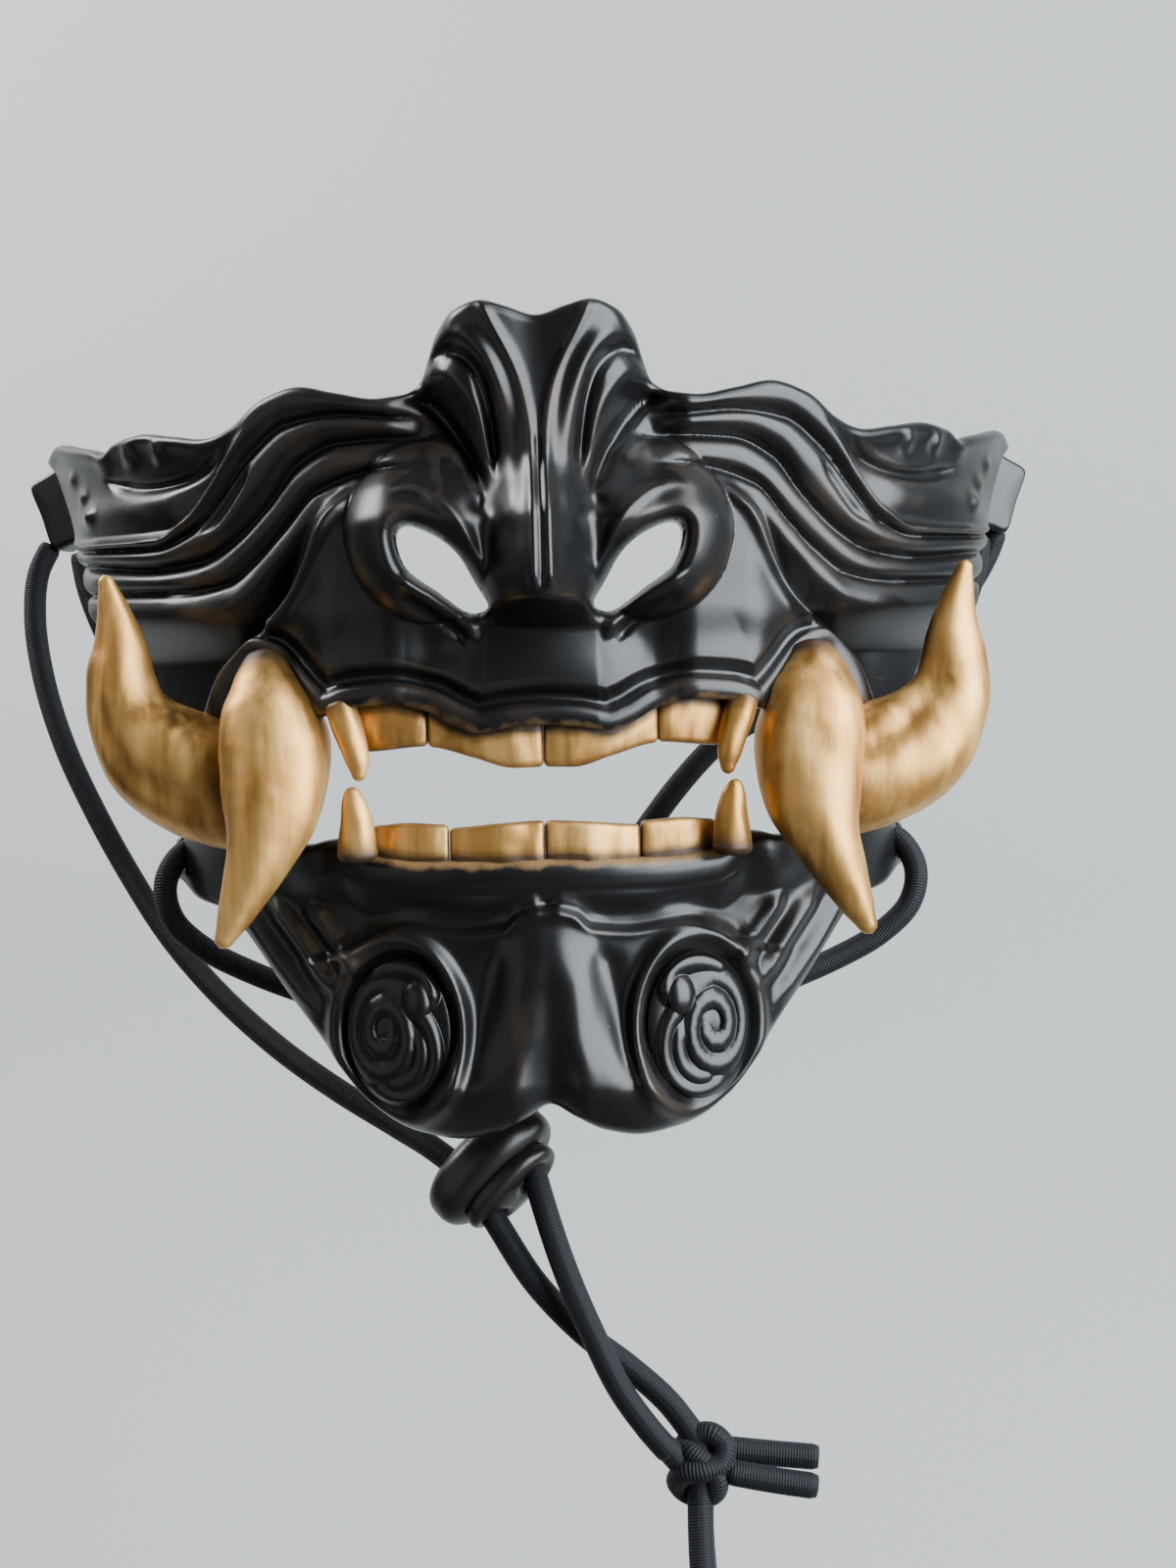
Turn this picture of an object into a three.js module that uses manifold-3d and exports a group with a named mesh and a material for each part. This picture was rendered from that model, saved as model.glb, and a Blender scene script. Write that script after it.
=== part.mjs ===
// A demon-faced half mask of moulded shell with gold teeth, fangs and tusks,
// tied on with one elastic cord that is gathered by a stopper and a knot.
//
// Millimetres, +Z up, the face looks along -Y, +X is on the viewer's right.
// The mask is drawn in its own space, whose zero is the middle of the open mouth
// on the plane of the lips. The whole of it is then moved so that the origin is
// the seat on the bridge of the wearer's nose, at the back of the shell.

import * as THREE from 'three';
import { mergeVertices } from 'three/addons/utils/BufferGeometryUtils.js';
import Module from 'manifold-3d';

const wasm = await Module();
wasm.setup();

// ---------------------------------------------------------------- sizes

const SEAT_DEPTH = -8; // the nose seat in the mask's own space
const SEAT_HEIGHT = 66;
const WALL = 3.2; // moulded wall
const GAP = 0.3; // air left between two pieces
const CORD_DIAMETER = 4.5;
const CORD_SIDES = 8;

// Both shells wrap the face on an ellipse seen from above.
const UPPER_PLAN = { halfWidth: 100, depth: 109 };
const JAW_PLAN = { halfWidth: 76, depth: 78 };

// Edges of the upper shell as [distance from the middle, height].
const UPPER_TOP_EDGE = [
  [0, 79.8], [5, 81.2], [9.5, 82.3], [14, 81], [17, 77.5], [18.6, 73.5], [20, 70],
  [23.4, 68], [27.5, 67.4], [34.5, 68.9], [41, 70.5], [46.7, 69], [52, 65.3],
  [58, 63.6], [64, 64.8], [72, 66.5], [77, 66], [79.6, 64.4], [82, 65.6], [88, 68], [93, 70], [96.4, 69],
];
const UPPER_BOTTOM_EDGE = [
  [0, 10.2], [6, 9.8], [11, 9], [15, 10.3], [20, 13], [26, 14.3], [31.5, 14], [37.5, 12.6],
  [40.5, 15.2], [44, 19.2], [47, 22.4], [49.4, 23.2], [51.8, 21.4], [54.2, 17.4], [56.8, 12.6], [61, 11.6], [67, 12], [74, 14],
];
// The rear end of the upper shell as [height, distance from the middle].
const UPPER_REAR_EDGE = [
  [14, 74], [28, 80], [38, 84.6], [45, 87.4], [52, 89.4], [58, 91.8], [64, 95], [69, 96.4],
];
const JAW_TOP_EDGE = [
  [0, -12.8], [18, -12.8], [30, -11.5], [41, -9.8], [50, -9], [60, -8], [66, -7.5], [71, -8.5],
];
const JAW_BOTTOM_EDGE = [
  [0, -55], [4, -57], [9.6, -59.8], [16, -61], [22.6, -60], [27, -58], [31.5, -54.5],
  [36.5, -48.4], [42, -42], [47, -36.4], [52, -29.8], [56, -25], [60, -21.8], [66, -20.2], [71, -17],
];

// The ridge of the nose as [height, how far it stands forward] and [height, half width].
const NOSE_RISE = [
  [10, 0], [26, 1], [28.5, 8], [31, 17], [36, 18], [42, 17], [50, 15], [60, 13], [68, 11.5], [75, 11], [82, 11],
];
const NOSE_WIDTH = [[28, 9], [34, 9.5], [42, 9], [50, 9], [60, 12], [68, 16], [75, 18.5], [82, 19.5]];
const WING = { x: 19, z: 44, halfWidth: 14, halfHeight: 15, rise: 9.5 };
const MUZZLE_RISE = 6;
const MUZZLE_SIDE = [[10, 60], [20, 57], [27, 50], [29.4, 45.8], [33.3, 42.2], [40, 38.6], [47, 35.5], [51.4, 31.6], [60, 29]];
const NOSTRIL = [
  [24.2, 43], [22.9, 44.4], [18.1, 42.8], [14, 39.5], [11.3, 35], [9, 30.3], [12, 29.6], [17.6, 33.2], [22.8, 37.3],
];

// Flowing bands of the cheek, top one first: its line as [x, z] and how far it stands out.
const CHEEK_BANDS = [
  { rise: 4.2, line: [[25, 66], [34.5, 67.4], [41.6, 68.3], [46.6, 66.1], [51, 61.7], [55.3, 54.9], [60.7, 48.6], [66, 46], [82, 47.2]] },
  { rise: 2.2, line: [[25, 64], [34.4, 65], [42.9, 64.2], [49, 60], [54.1, 53.6], [59.2, 47.6], [66.4, 44.8], [82, 46.3]] },
  { rise: 3.4, line: [[22, 62.4], [36.8, 63.6], [42.2, 61.8], [46.5, 57.6], [50.7, 52.3], [55.2, 47.4], [60.6, 44.2], [66.3, 43.2], [82, 45]] },
  { rise: 0.6, line: [[26.7, 60.6], [34.3, 60.4], [41.4, 57.3], [46.3, 51], [52.5, 44.8], [59.1, 41.6], [66.3, 40.9], [82, 43.2]] },
  { rise: 2.6, line: [[27.1, 57], [33.5, 57], [38.9, 54.4], [44.9, 48.4], [51.3, 42.4], [56.4, 39.1], [62, 38.2], [82, 40.2]] },
  { rise: 0, line: [[27.6, 55], [37.8, 52.4], [43.7, 46], [48.6, 40.8], [53.7, 37.2], [60.4, 36.2], [82, 38]] },
];

const FANG = {
  path: [
    [48, 13, 20], [48.1, 9.5, 15.6], [47.5, 6, 11], [46.8, 4, 6.5], [46.7, 1.6, 1], [47.2, 0, -4.5],
    [48.8, -1.6, -10.5], [51.2, -2.4, -16.5], [53.7, -2.8, -22], [56, -3, -26.8],
  ],
  radii: [3.6, 6, 8.8, 9.7, 9.3, 8.2, 6.1, 4.6, 3.1],
};
const TUSK = {
  path: [
    [46, 17, -1], [51.5, 17, -0.2], [57, 17.2, 1], [62.5, 17.6, 3], [67.6, 18, 5.9], [71.6, 18.4, 10], [74.4, 18.8, 15],
    [75.4, 19, 20.5], [75.4, 19, 26], [76, 18.6, 31], [77, 18.2, 35.6], [78, 18, 39.4],
  ],
  radii: [9.3, 10, 10.2, 10.2, 10.1, 9.5, 8, 6.7, 5.6, 4.1, 2.6],
};
const SMALL_FANG_UPPER = { path: [[35, 0, 12.2], [34, -0.6, 9], [32.8, -1, 5.6], [32.2, -1.2, 1.4]], radii: [2.3, 2.2, 2] };
const SMALL_FANG_LOWER = { path: [[32.4, 0.5, -12.2], [32.4, -0.2, -7], [32.7, -0.6, -3], [33.3, -0.8, 0.3]], radii: [2.9, 2.5, 2.1] };

// Front outlines of the teeth of one side as [x, z]; the other side is the mirror image.
const UPPER_TEETH = [
  { name: 'inner', y: 0.2, outline: [[0.4, 9.8], [19.4, 12], [19.6, 7], [12.4, 5], [5.4, 3], [0.4, 3.2]] },
  { name: 'outer', y: 3, outline: [[20.1, 12.6], [31.2, 13.2], [30.4, 6.4], [20.1, 7]] },
];
const LOWER_TEETH = [
  { name: 'inner', y: 1, outline: [[0.4, -6.2], [16.2, -7.1], [16.3, -12.4], [0.4, -12.4]] },
  { name: 'outer', y: 3.2, outline: [[16.9, -6.4], [28.9, -6.4], [29, -11.6], [16.9, -12.2]] },
];
const TOOTH_DEPTH = 4;
const ROUNDEL = { x: 26, z: -42.2, halfWidth: 9.2, halfHeight: 13, rise: 2.4 };

const LUG = { x: 99.2, y: 82, z: 60.2, width: 11.2, height: 16, depth: 6, turn: 0.5 };
const STOPPER = { center: [-10.2, 16, -68.6], halfLength: 13, halfWidth: 8, halfThickness: 3.7 };
const KNOT = { center: [24.6, 4, -119.6], halfWidth: 5.6, halfDepth: 5, halfHeight: 7 };

// Routes of the cord, by hand, end to end.
const LEFT_ROUTE = [
  [-99.6, 81.4, 51.4], [-102, 80, 45.6], [-102.4, 77.6, 36], [-100.2, 75, 23], [-95.8, 72.4, 9.6], [-89.8, 70, -3.2],
  [-82.6, 67, -16], [-74, 62, -28.6], [-64, 56, -39.4], [-52, 48, -49.2], [-39.6, 38.4, -56.8], [-28, 29, -62.6],
  [-20.4, 22, -66.4], [-14.4, 17.4, -71], [-9.6, 12.8, -78.4], [-3.2, 9.2, -88], [5.2, 8.5, -97], [13, 7.5, -103],
  [19.4, 5.8, -108.6], [23.8, 4.6, -114.2],
];
const RIGHT_ROUTE = [
  [97.2, 81.6, 51.2], [95.4, 82.4, 46.4], [91.4, 83, 39.6], [84, 82, 31.6], [72, 77, 24.4], [58, 68, 18.6], [45, 57.6, 13],
  [34.8, 49.4, 7.4], [27.4, 44, 0.4], [20.4, 39.6, -8], [12.6, 35.6, -18.6], [5, 31.4, -31], [-0.6, 27, -43.6],
  [-4, 21, -56], [-3.6, 15.4, -66], [-1, 8.5, -76], [2.4, 4.5, -86], [6.6, 2.5, -96], [11, 1.6, -105.2],
  [15.6, 1.8, -112], [19.6, 2.6, -117],
];
const JAW_ROUTE_HALF = [
  [92.8, 77.4, 49.4], [91.4, 77, 42], [87, 75, 31], [79.4, 70.6, 18.6], [71, 65, 8], [64.6, 59.4, 0.6],
  [62.4, 53.6, -5.6], [64.8, 48.6, -9.6], [69.4, 45, -12.2], [71.8, 42.6, -17.6], [70.4, 42, -24], [65, 43, -29.6],
  [57.2, 43.6, -34], [43, 42.4, -39.4], [23, 38.8, -43.6], [0, 37, -45],
];
const LOOP_ROUTE = [
  [24.6, 2.2, -124.6], [24.4, -0.8, -132], [24.6, -4, -140], [25.8, -5.6, -148.2], [27.2, -3.8, -155.6],
  [28.2, -0.2, -160.6], [28.8, 5, -162.6], [28.6, 10.2, -160], [27.6, 13, -154], [26.6, 12.8, -147], [25.8, 11, -140.4],
  [25.2, 8.6, -132], [25.2, 7, -124.6],
];
const TAIL_ROUTES = [
  [[29.6, 5.9, -117.4], [37.8, 5.7, -118.4], [45.8, 5.3, -119.2]],
  [[29.4, 1.7, -120.2], [37.4, 1.7, -121.9], [45, 1.9, -123.3]],
];
const LEFT_STEPS = 22;
const RIGHT_STEPS = 22;
const JAW_STEPS = 24;
const LOOP_STEPS = 7;
const TAIL_STEPS = 2;

// ---------------------------------------------------------------- materials

const finishes = {
  lacquer: { color: 0x17181a, roughness: 0.38, metalness: 0.0 },
  gold: { color: 0xb0823c, roughness: 0.42, metalness: 0.85 },
  elastic: { color: 0x15171b, roughness: 0.8, metalness: 0.0 },
  matteBlack: { color: 0x121212, roughness: 0.55, metalness: 0.0 },
};
const finish = (name) => new THREE.MeshStandardMaterial(finishes[name]);

// ---------------------------------------------------------------- small maths

const clamp01 = (value) => Math.min(1, Math.max(0, value));
const smooth = (low, high, value) => {
  const s = clamp01((value - low) / (high - low));
  return s * s * (3 - 2 * s);
};

// A curve through hand-set points that never overshoots them.
function profile(points) {
  const last = points.length - 1;
  const slope = (i) => (points[i + 1][1] - points[i][1]) / (points[i + 1][0] - points[i][0]);
  const tangent = points.map((point, i) => {
    if (i === 0 || i === last) return 0;
    const before = slope(i - 1);
    const after = slope(i);
    return before * after <= 0 ? 0 : (2 * before * after) / (before + after);
  });
  return (value) => {
    if (value <= points[0][0]) return points[0][1];
    if (value >= points[last][0]) return points[last][1];
    let i = 0;
    while (points[i + 1][0] < value) i += 1;
    const span = points[i + 1][0] - points[i][0];
    const s = (value - points[i][0]) / span;
    const s2 = s * s;
    const s3 = s2 * s;
    return points[i][1] * (2 * s3 - 3 * s2 + 1) + points[i + 1][1] * (3 * s2 - 2 * s3)
      + span * (tangent[i] * (s3 - 2 * s2 + s) + tangent[i + 1] * (s3 - s2));
  };
}

const softMax = (a, b, blend) => {
  const h = Math.max(blend - Math.abs(a - b), 0) / blend;
  return Math.max(a, b) + (h * h * blend) / 4;
};

// ---------------------------------------------------------------- solids

function toManifold(geometry) {
  const bare = geometry.clone();
  for (const name of Object.keys(bare.attributes)) if (name !== 'position') bare.deleteAttribute(name);
  const merged = mergeVertices(bare, 1e-4);
  return new wasm.Manifold(new wasm.Mesh({
    numProp: 3,
    vertProperties: new Float32Array(merged.attributes.position.array),
    triVerts: new Uint32Array(merged.index.array),
  }));
}

function toGeometry(solid) {
  const mesh = solid.getMesh();
  const geometry = new THREE.BufferGeometry();
  geometry.setAttribute('position', new THREE.BufferAttribute(new Float32Array(mesh.vertProperties), 3));
  geometry.setIndex(new THREE.BufferAttribute(new Uint32Array(mesh.triVerts), 1));
  geometry.computeVertexNormals();
  return geometry;
}

const cut = (geometry, ...tools) => toGeometry(
  tools.reduce((solid, tool) => solid.subtract(toManifold(tool)), toManifold(geometry)),
);

// A closed wall between an outer and an inner skin, each a function of (across, up).
function wallGeometry(columns, rows, outer, inner) {
  const positions = [];
  const faces = [];
  const stride = columns + 1;
  const layer = stride * (rows + 1);
  for (const skin of [outer, inner]) {
    for (let j = 0; j <= rows; j += 1) {
      for (let i = 0; i <= columns; i += 1) positions.push(...skin(-1 + (2 * i) / columns, j / rows));
    }
  }
  const quad = (a, b, c, d) => faces.push(a, b, c, a, c, d);
  for (let j = 0; j < rows; j += 1) {
    for (let i = 0; i < columns; i += 1) {
      const a = j * stride + i;
      quad(a, a + 1, a + 1 + stride, a + stride);
      quad(layer + a, layer + a + stride, layer + a + 1 + stride, layer + a + 1);
    }
  }
  for (let i = 0; i < columns; i += 1) {
    const top = rows * stride + i;
    quad(i, layer + i, layer + i + 1, i + 1);
    quad(top, top + 1, layer + top + 1, layer + top);
  }
  for (let j = 0; j < rows; j += 1) {
    const low = j * stride;
    const high = low + columns;
    quad(low, low + stride, layer + low + stride, layer + low);
    quad(high, layer + high, layer + high + stride, high + stride);
  }
  const geometry = new THREE.BufferGeometry();
  geometry.setAttribute('position', new THREE.Float32BufferAttribute(positions, 3));
  geometry.setIndex(faces);
  return geometry;
}

// A point on a shell: its plan ellipse at x, lifted by `rise` along the outward direction,
// which is straight forward in the middle of the face and square to the shell at its sides.
function shellPoint(plan, x, z, rise) {
  const sine = x / plan.halfWidth;
  const cosine = Math.sqrt(1 - sine * sine);
  const sideways = plan.depth * sine * smooth(20, 60, Math.abs(x));
  const forward = -plan.halfWidth * cosine;
  const length = Math.hypot(sideways, forward);
  return [x + (rise * sideways) / length, plan.depth * (1 - cosine) + (rise * forward) / length, z];
}

// The same relief pushed in by the wall, measured square to the surface.
function innerRise(relief, x, z, wall) {
  let rise = relief(x, z) - wall;
  const reach = wall * 0.7;
  const drop = Math.sqrt(wall * wall - reach * reach);
  for (let k = 0; k < 8; k += 1) {
    const angle = (k * Math.PI) / 4;
    rise = Math.min(rise, relief(x + reach * Math.cos(angle), z + reach * Math.sin(angle)) - drop);
  }
  return rise;
}

// A horn: round sections along a curve, closed by a rounded root and a point.
function hornGeometry({ path, radii }, side, grow = 0, sections = 12, sides = 10, flatten = 0.9) {
  const curve = new THREE.CatmullRomCurve3(path.map(([x, y, z]) => new THREE.Vector3(side * x, y, z)));
  const thickness = profile([...radii, 0.5].map((radius, i) => [i / radii.length, radius]));
  const positions = [];
  const faces = [];
  const forward = new THREE.Vector3(0, -1, 0);
  for (let k = 0; k < sections; k += 1) {
    const s = k / (sections - 1);
    const center = curve.getPoint(s);
    const tangent = curve.getTangent(s);
    const across = new THREE.Vector3().crossVectors(tangent, forward).normalize();
    const out = new THREE.Vector3().crossVectors(across, tangent).normalize();
    const radius = thickness(s) + grow;
    for (let i = 0; i < sides; i += 1) {
      const angle = (2 * Math.PI * i) / sides;
      const point = center.clone()
        .addScaledVector(across, radius * Math.cos(angle))
        .addScaledVector(out, radius * flatten * Math.sin(angle));
      positions.push(point.x, point.y, point.z);
    }
  }
  const root = curve.getPoint(0).addScaledVector(curve.getTangent(0), -0.35 * radii[0] - grow);
  const tip = curve.getPoint(1).addScaledVector(curve.getTangent(1), 0.5 + grow);
  const rootIndex = sections * sides;
  positions.push(root.x, root.y, root.z, tip.x, tip.y, tip.z);
  const last = (sections - 1) * sides;
  for (let i = 0; i < sides; i += 1) {
    const next = (i + 1) % sides;
    faces.push(rootIndex, next, i, rootIndex + 1, last + i, last + next);
    for (let k = 0; k < sections - 1; k += 1) {
      const a = k * sides + i;
      const b = k * sides + next;
      faces.push(a, b, b + sides, a, b + sides, a + sides);
    }
  }
  return outwardFacing(positions, faces);
}

// Turns a closed mesh's faces outward if they were wound the other way.
function outwardFacing(positions, faces) {
  const geometry = new THREE.BufferGeometry();
  geometry.setAttribute('position', new THREE.Float32BufferAttribute(positions, 3));
  const corner = (i) => new THREE.Vector3(...positions.slice(3 * i, 3 * i + 3));
  let volume = 0;
  for (let f = 0; f < faces.length; f += 3) {
    volume += corner(faces[f]).dot(corner(faces[f + 1]).cross(corner(faces[f + 2])));
  }
  if (volume < 0) for (let f = 0; f < faces.length; f += 3) faces.splice(f, 2, faces[f + 1], faces[f]);
  geometry.setIndex(faces);
  return geometry;
}

function tubeGeometry(route, steps, grow = 0) {
  const radius = CORD_DIAMETER / 2 + grow;
  const section = new THREE.Shape();
  for (let i = 0; i < CORD_SIDES; i += 1) {
    const angle = (2 * Math.PI * i) / CORD_SIDES;
    const x = radius * Math.cos(angle);
    const y = radius * Math.sin(angle);
    if (i === 0) section.moveTo(x, y);
    else section.lineTo(x, y);
  }
  section.closePath();
  const extrudePath = new THREE.CatmullRomCurve3(route.map((point) => new THREE.Vector3(...point)));
  return new THREE.ExtrudeGeometry(section, { steps, extrudePath, bevelEnabled: false });
}

// A flat outline in the plane of the face, extruded from front to back with soft edges.
function plateGeometry(outline, side, front, depth, bevel) {
  const shape = new THREE.Shape(outline.map(([x, z]) => new THREE.Vector2(side * x, z)));
  const geometry = new THREE.ExtrudeGeometry(shape, {
    depth: depth - 2 * bevel, bevelEnabled: bevel > 0, bevelThickness: bevel, bevelSize: bevel, bevelOffset: -bevel,
    bevelSegments: 1, curveSegments: 6,
  });
  geometry.rotateX(Math.PI / 2);
  geometry.translate(0, front + depth - bevel, 0);
  return geometry;
}

// ---------------------------------------------------------------- upper shell

const upperTop = profile(UPPER_TOP_EDGE);
const upperBottom = profile(UPPER_BOTTOM_EDGE);
const upperRear = profile(UPPER_REAR_EDGE);
const noseRise = profile(NOSE_RISE);
const noseWidth = profile(NOSE_WIDTH);
const muzzleSide = profile(MUZZLE_SIDE);
const bandLines = CHEEK_BANDS.map(({ rise, line }) => ({ rise, height: profile(line) }));

function noseRelief(x, z) {
  const across = Math.abs(x) / noseWidth(z);
  const sharpness = 2 + 2.5 * smooth(55, 72, z);
  const ridge = noseRise(z) * Math.exp(-(across ** sharpness));
  const wingX = (Math.abs(x) - WING.x) / WING.halfWidth;
  const wingZ = (z - WING.z) / WING.halfHeight;
  const wing = WING.rise * Math.max(0, 1 - wingX * wingX - wingZ * wingZ) ** 0.6;
  const valley = 2 * Math.exp(-((x / 4) ** 2)) * smooth(60, 75, z);
  return softMax(ridge, wing, 5) - valley;
}

function cheekRelief(x, z) {
  const inside = smooth(19, 27, x);
  if (inside === 0) return 0;
  let height = bandLines[0].height(x);
  let rise = bandLines[0].rise;
  if (z >= height) {
    const shelf = 1.2 + 1.6 * Math.exp(-(((z - upperTop(x)) / 3) ** 2));
    return inside * (rise + (shelf - rise) * smooth(0, 3.5, z - height) * smooth(48, 56, x));
  }
  for (const band of bandLines.slice(1)) {
    const next = band.height(x);
    if (z > next) return inside * (band.rise + (rise - band.rise) * smooth(next, height, z));
    height = next;
    rise = band.rise;
  }
  return inside * (rise + 1.2 * smooth(0, 2, height - z) - 4 * smooth(2, 12, height - z) * smooth(36, 46, x));
}

function upperRelief(x, z) {
  const side = Math.abs(x);
  const muzzle = MUZZLE_RISE * (1 - smooth(muzzleSide(z) - 1, muzzleSide(z) + 3, side)) * (1 - smooth(44, 56, z));
  const aboveLip = z - upperBottom(side);
  const lip = side < 60 ? 1.8 * Math.sin(Math.PI * clamp01(aboveLip / 4.6)) : 0;
  return Math.max(muzzle, 0) + noseRelief(x, z) + cheekRelief(side, z) + lip;
}

function upperShell(grow = 0) {
  const bottomReach = Math.asin(UPPER_REAR_EDGE[0][1] / UPPER_PLAN.halfWidth);
  const topReach = Math.asin(UPPER_REAR_EDGE.at(-1)[1] / UPPER_PLAN.halfWidth);
  const [rearLow, rearHigh] = [UPPER_REAR_EDGE[0][0], UPPER_REAR_EDGE.at(-1)[0]];
  const place = (across, up) => {
    const reach = Math.asin(upperRear(rearLow + (rearHigh - rearLow) * up) / UPPER_PLAN.halfWidth)
      + grow / UPPER_PLAN.depth;
    const low = upperBottom(Math.abs(UPPER_PLAN.halfWidth * Math.sin(across * bottomReach))) - grow;
    const high = upperTop(Math.abs(UPPER_PLAN.halfWidth * Math.sin(across * topReach))) + grow;
    return [UPPER_PLAN.halfWidth * Math.sin(across * reach), low + (high - low) * up];
  };
  const outer = (across, up) => {
    const [x, z] = place(across, up);
    return shellPoint(UPPER_PLAN, x, z, upperRelief(x, z) + grow);
  };
  const inner = (across, up) => {
    const [x, z] = place(across, up);
    return shellPoint(UPPER_PLAN, x, z, innerRise(upperRelief, x, z, WALL) - grow);
  };
  return wallGeometry(66, 16, outer, inner);
}

function nostrilTool(side) {
  const curve = new THREE.SplineCurve([...NOSTRIL, NOSTRIL[0]].map(([x, z]) => new THREE.Vector2(side * x, z)));
  const outline = curve.getPoints(20).slice(0, -1).map((point) => [point.x, point.y]);
  return plateGeometry(outline, 1, -60, 90, 0);
}

// ---------------------------------------------------------------- lower jaw

const jawTop = profile(JAW_TOP_EDGE);
const jawBottom = profile(JAW_BOTTOM_EDGE);
const CHIN_HALF_WIDTH = profile([[-60, 24], [-52, 18], [-44, 13], [-36, 10], [-26, 7], [-20, 6]]);
const CHIN_TOP = profile([[0, -20.7], [4.5, -21.6], [7.8, -24], [14, -24.7], [24, -23.5], [33, -26.5], [44, -28], [60, -14]]);

function jawRelief(x, z) {
  const side = Math.abs(x);
  const belowEdge = jawTop(side) - z;
  const lip = 4 * (1 - smooth(3.6, 6.4, belowEdge)) * (1 - smooth(38, 48, side));
  const chin = 3 * smooth(-1, 2, CHIN_TOP(side) - z) * (1 - smooth(30, 50, side));
  const lobe = 4.5 * (1 - smooth(0.7, 1.4, side / CHIN_HALF_WIDTH(z))) * smooth(20, 30, -z);
  const notch = 3.4 * Math.exp(-((x / 5) ** 2)) * smooth(38, 54, -z);
  const tuck = 5 * smooth(50, 62, -z);
  const ring = Math.hypot((side - ROUNDEL.x) / (ROUNDEL.halfWidth + 2), (z - ROUNDEL.z) / (ROUNDEL.halfHeight + 2));
  const border = 1.5 * Math.exp(-(((ring - 1.06) / 0.16) ** 2));
  return lip + chin + lobe - notch - tuck + border;
}

function jawShell(grow = 0) {
  const reach = Math.asin(JAW_TOP_EDGE.at(-1)[0] / JAW_PLAN.halfWidth) + grow / JAW_PLAN.depth;
  const place = (across, up) => {
    const x = JAW_PLAN.halfWidth * Math.sin(across * reach);
    const low = jawBottom(Math.abs(x)) - grow;
    return [x, low + (jawTop(Math.abs(x)) + grow - low) * up];
  };
  const outer = (across, up) => {
    const [x, z] = place(across, up);
    return shellPoint(JAW_PLAN, x, z, jawRelief(x, z) + grow);
  };
  const inner = (across, up) => {
    const [x, z] = place(across, up);
    return shellPoint(JAW_PLAN, x, z, innerRise(jawRelief, x, z, WALL) - grow);
  };
  return wallGeometry(42, 14, outer, inner);
}

// ---------------------------------------------------------------- small pieces

function roundelGeometry(side) {
  const dome = new THREE.SphereGeometry(1, 16, 6);
  dome.scale(ROUNDEL.halfWidth, ROUNDEL.rise, ROUNDEL.halfHeight);
  const [x, y, z] = shellPoint(JAW_PLAN, side * ROUNDEL.x, ROUNDEL.z, jawRelief(ROUNDEL.x, ROUNDEL.z));
  dome.rotateZ(side * 0.38);
  dome.translate(x, y - 0.2, z);
  return dome;
}

function lugGeometry(side) {
  const { width, height, depth } = LUG;
  const shape = new THREE.Shape([
    new THREE.Vector2(-width / 2, -height / 2 + 3), new THREE.Vector2(width / 2 - 4, -height / 2),
    new THREE.Vector2(width / 2, height / 2 - 4.5), new THREE.Vector2(-width / 2, height / 2),
  ].map((corner) => new THREE.Vector2(side * corner.x, corner.y)));
  const geometry = new THREE.ExtrudeGeometry(shape, {
    depth: depth - 1.6, bevelEnabled: true, bevelThickness: 0.8, bevelSize: 0.8, bevelOffset: -0.8, bevelSegments: 1,
  });
  geometry.translate(0, 0, -depth / 2 + 0.8);
  geometry.rotateX(Math.PI / 2);
  geometry.rotateZ(side * LUG.turn);
  geometry.translate(side * LUG.x, LUG.y, LUG.z);
  return geometry;
}

function stopperGeometry() {
  const { halfLength, halfWidth, halfThickness, center } = STOPPER;
  const pebble = new THREE.SphereGeometry(1, 18, 10);
  pebble.scale(halfLength, halfThickness, halfWidth);
  const along = new THREE.Vector3(0.72, 0.05, 0.69).normalize();
  const face = new THREE.Vector3(-0.5, 0.5, 0.68);
  face.addScaledVector(along, -face.dot(along)).normalize();
  const across = new THREE.Vector3().crossVectors(along, face);
  pebble.applyMatrix4(new THREE.Matrix4().makeBasis(along, face, across));
  pebble.translate(...center);
  return pebble;
}

function knotGeometry() {
  const ball = new THREE.SphereGeometry(1, 16, 10);
  ball.scale(KNOT.halfWidth, KNOT.halfDepth, KNOT.halfHeight);
  ball.rotateY(0.3);
  ball.translate(...KNOT.center);
  return ball;
}

// ---------------------------------------------------------------- assembly

const mask = new THREE.Group();
mask.name = 'face_guard';
const upperGroup = new THREE.Group();
const jawGroup = new THREE.Group();
const cordGroup = new THREE.Group();
mask.add(upperGroup, jawGroup, cordGroup);
mask.position.set(0, -SEAT_DEPTH, -SEAT_HEIGHT);

function addPiece(group, name, geometry, finishName) {
  geometry.computeVertexNormals();
  const mesh = new THREE.Mesh(geometry, finish(finishName));
  mesh.name = name;
  group.add(mesh);
}

const mirrored = (route) => route.map(([x, y, z]) => [-x, y, z]);
const jawRoute = [...mirrored(JAW_ROUTE_HALF), ...JAW_ROUTE_HALF.slice(0, -1).reverse()];
const cords = {
  cord_left: [LEFT_ROUTE, LEFT_STEPS],
  cord_right: [RIGHT_ROUTE, RIGHT_STEPS],
  cord_jaw: [jawRoute, JAW_STEPS],
  cord_loop: [LOOP_ROUTE, LOOP_STEPS],
  cord_tail_upper: [TAIL_ROUTES[0], TAIL_STEPS],
  cord_tail_lower: [TAIL_ROUTES[1], TAIL_STEPS],
};
const grownCords = Object.values(cords).map(([route, steps]) => tubeGeometry(route, steps, GAP));
for (const [name, [route, steps]] of Object.entries(cords)) {
  addPiece(cordGroup, name, tubeGeometry(route, steps), 'elastic');
}
addPiece(cordGroup, 'cord_stopper', cut(stopperGeometry(), ...grownCords.slice(0, 2)), 'matteBlack');
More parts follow.
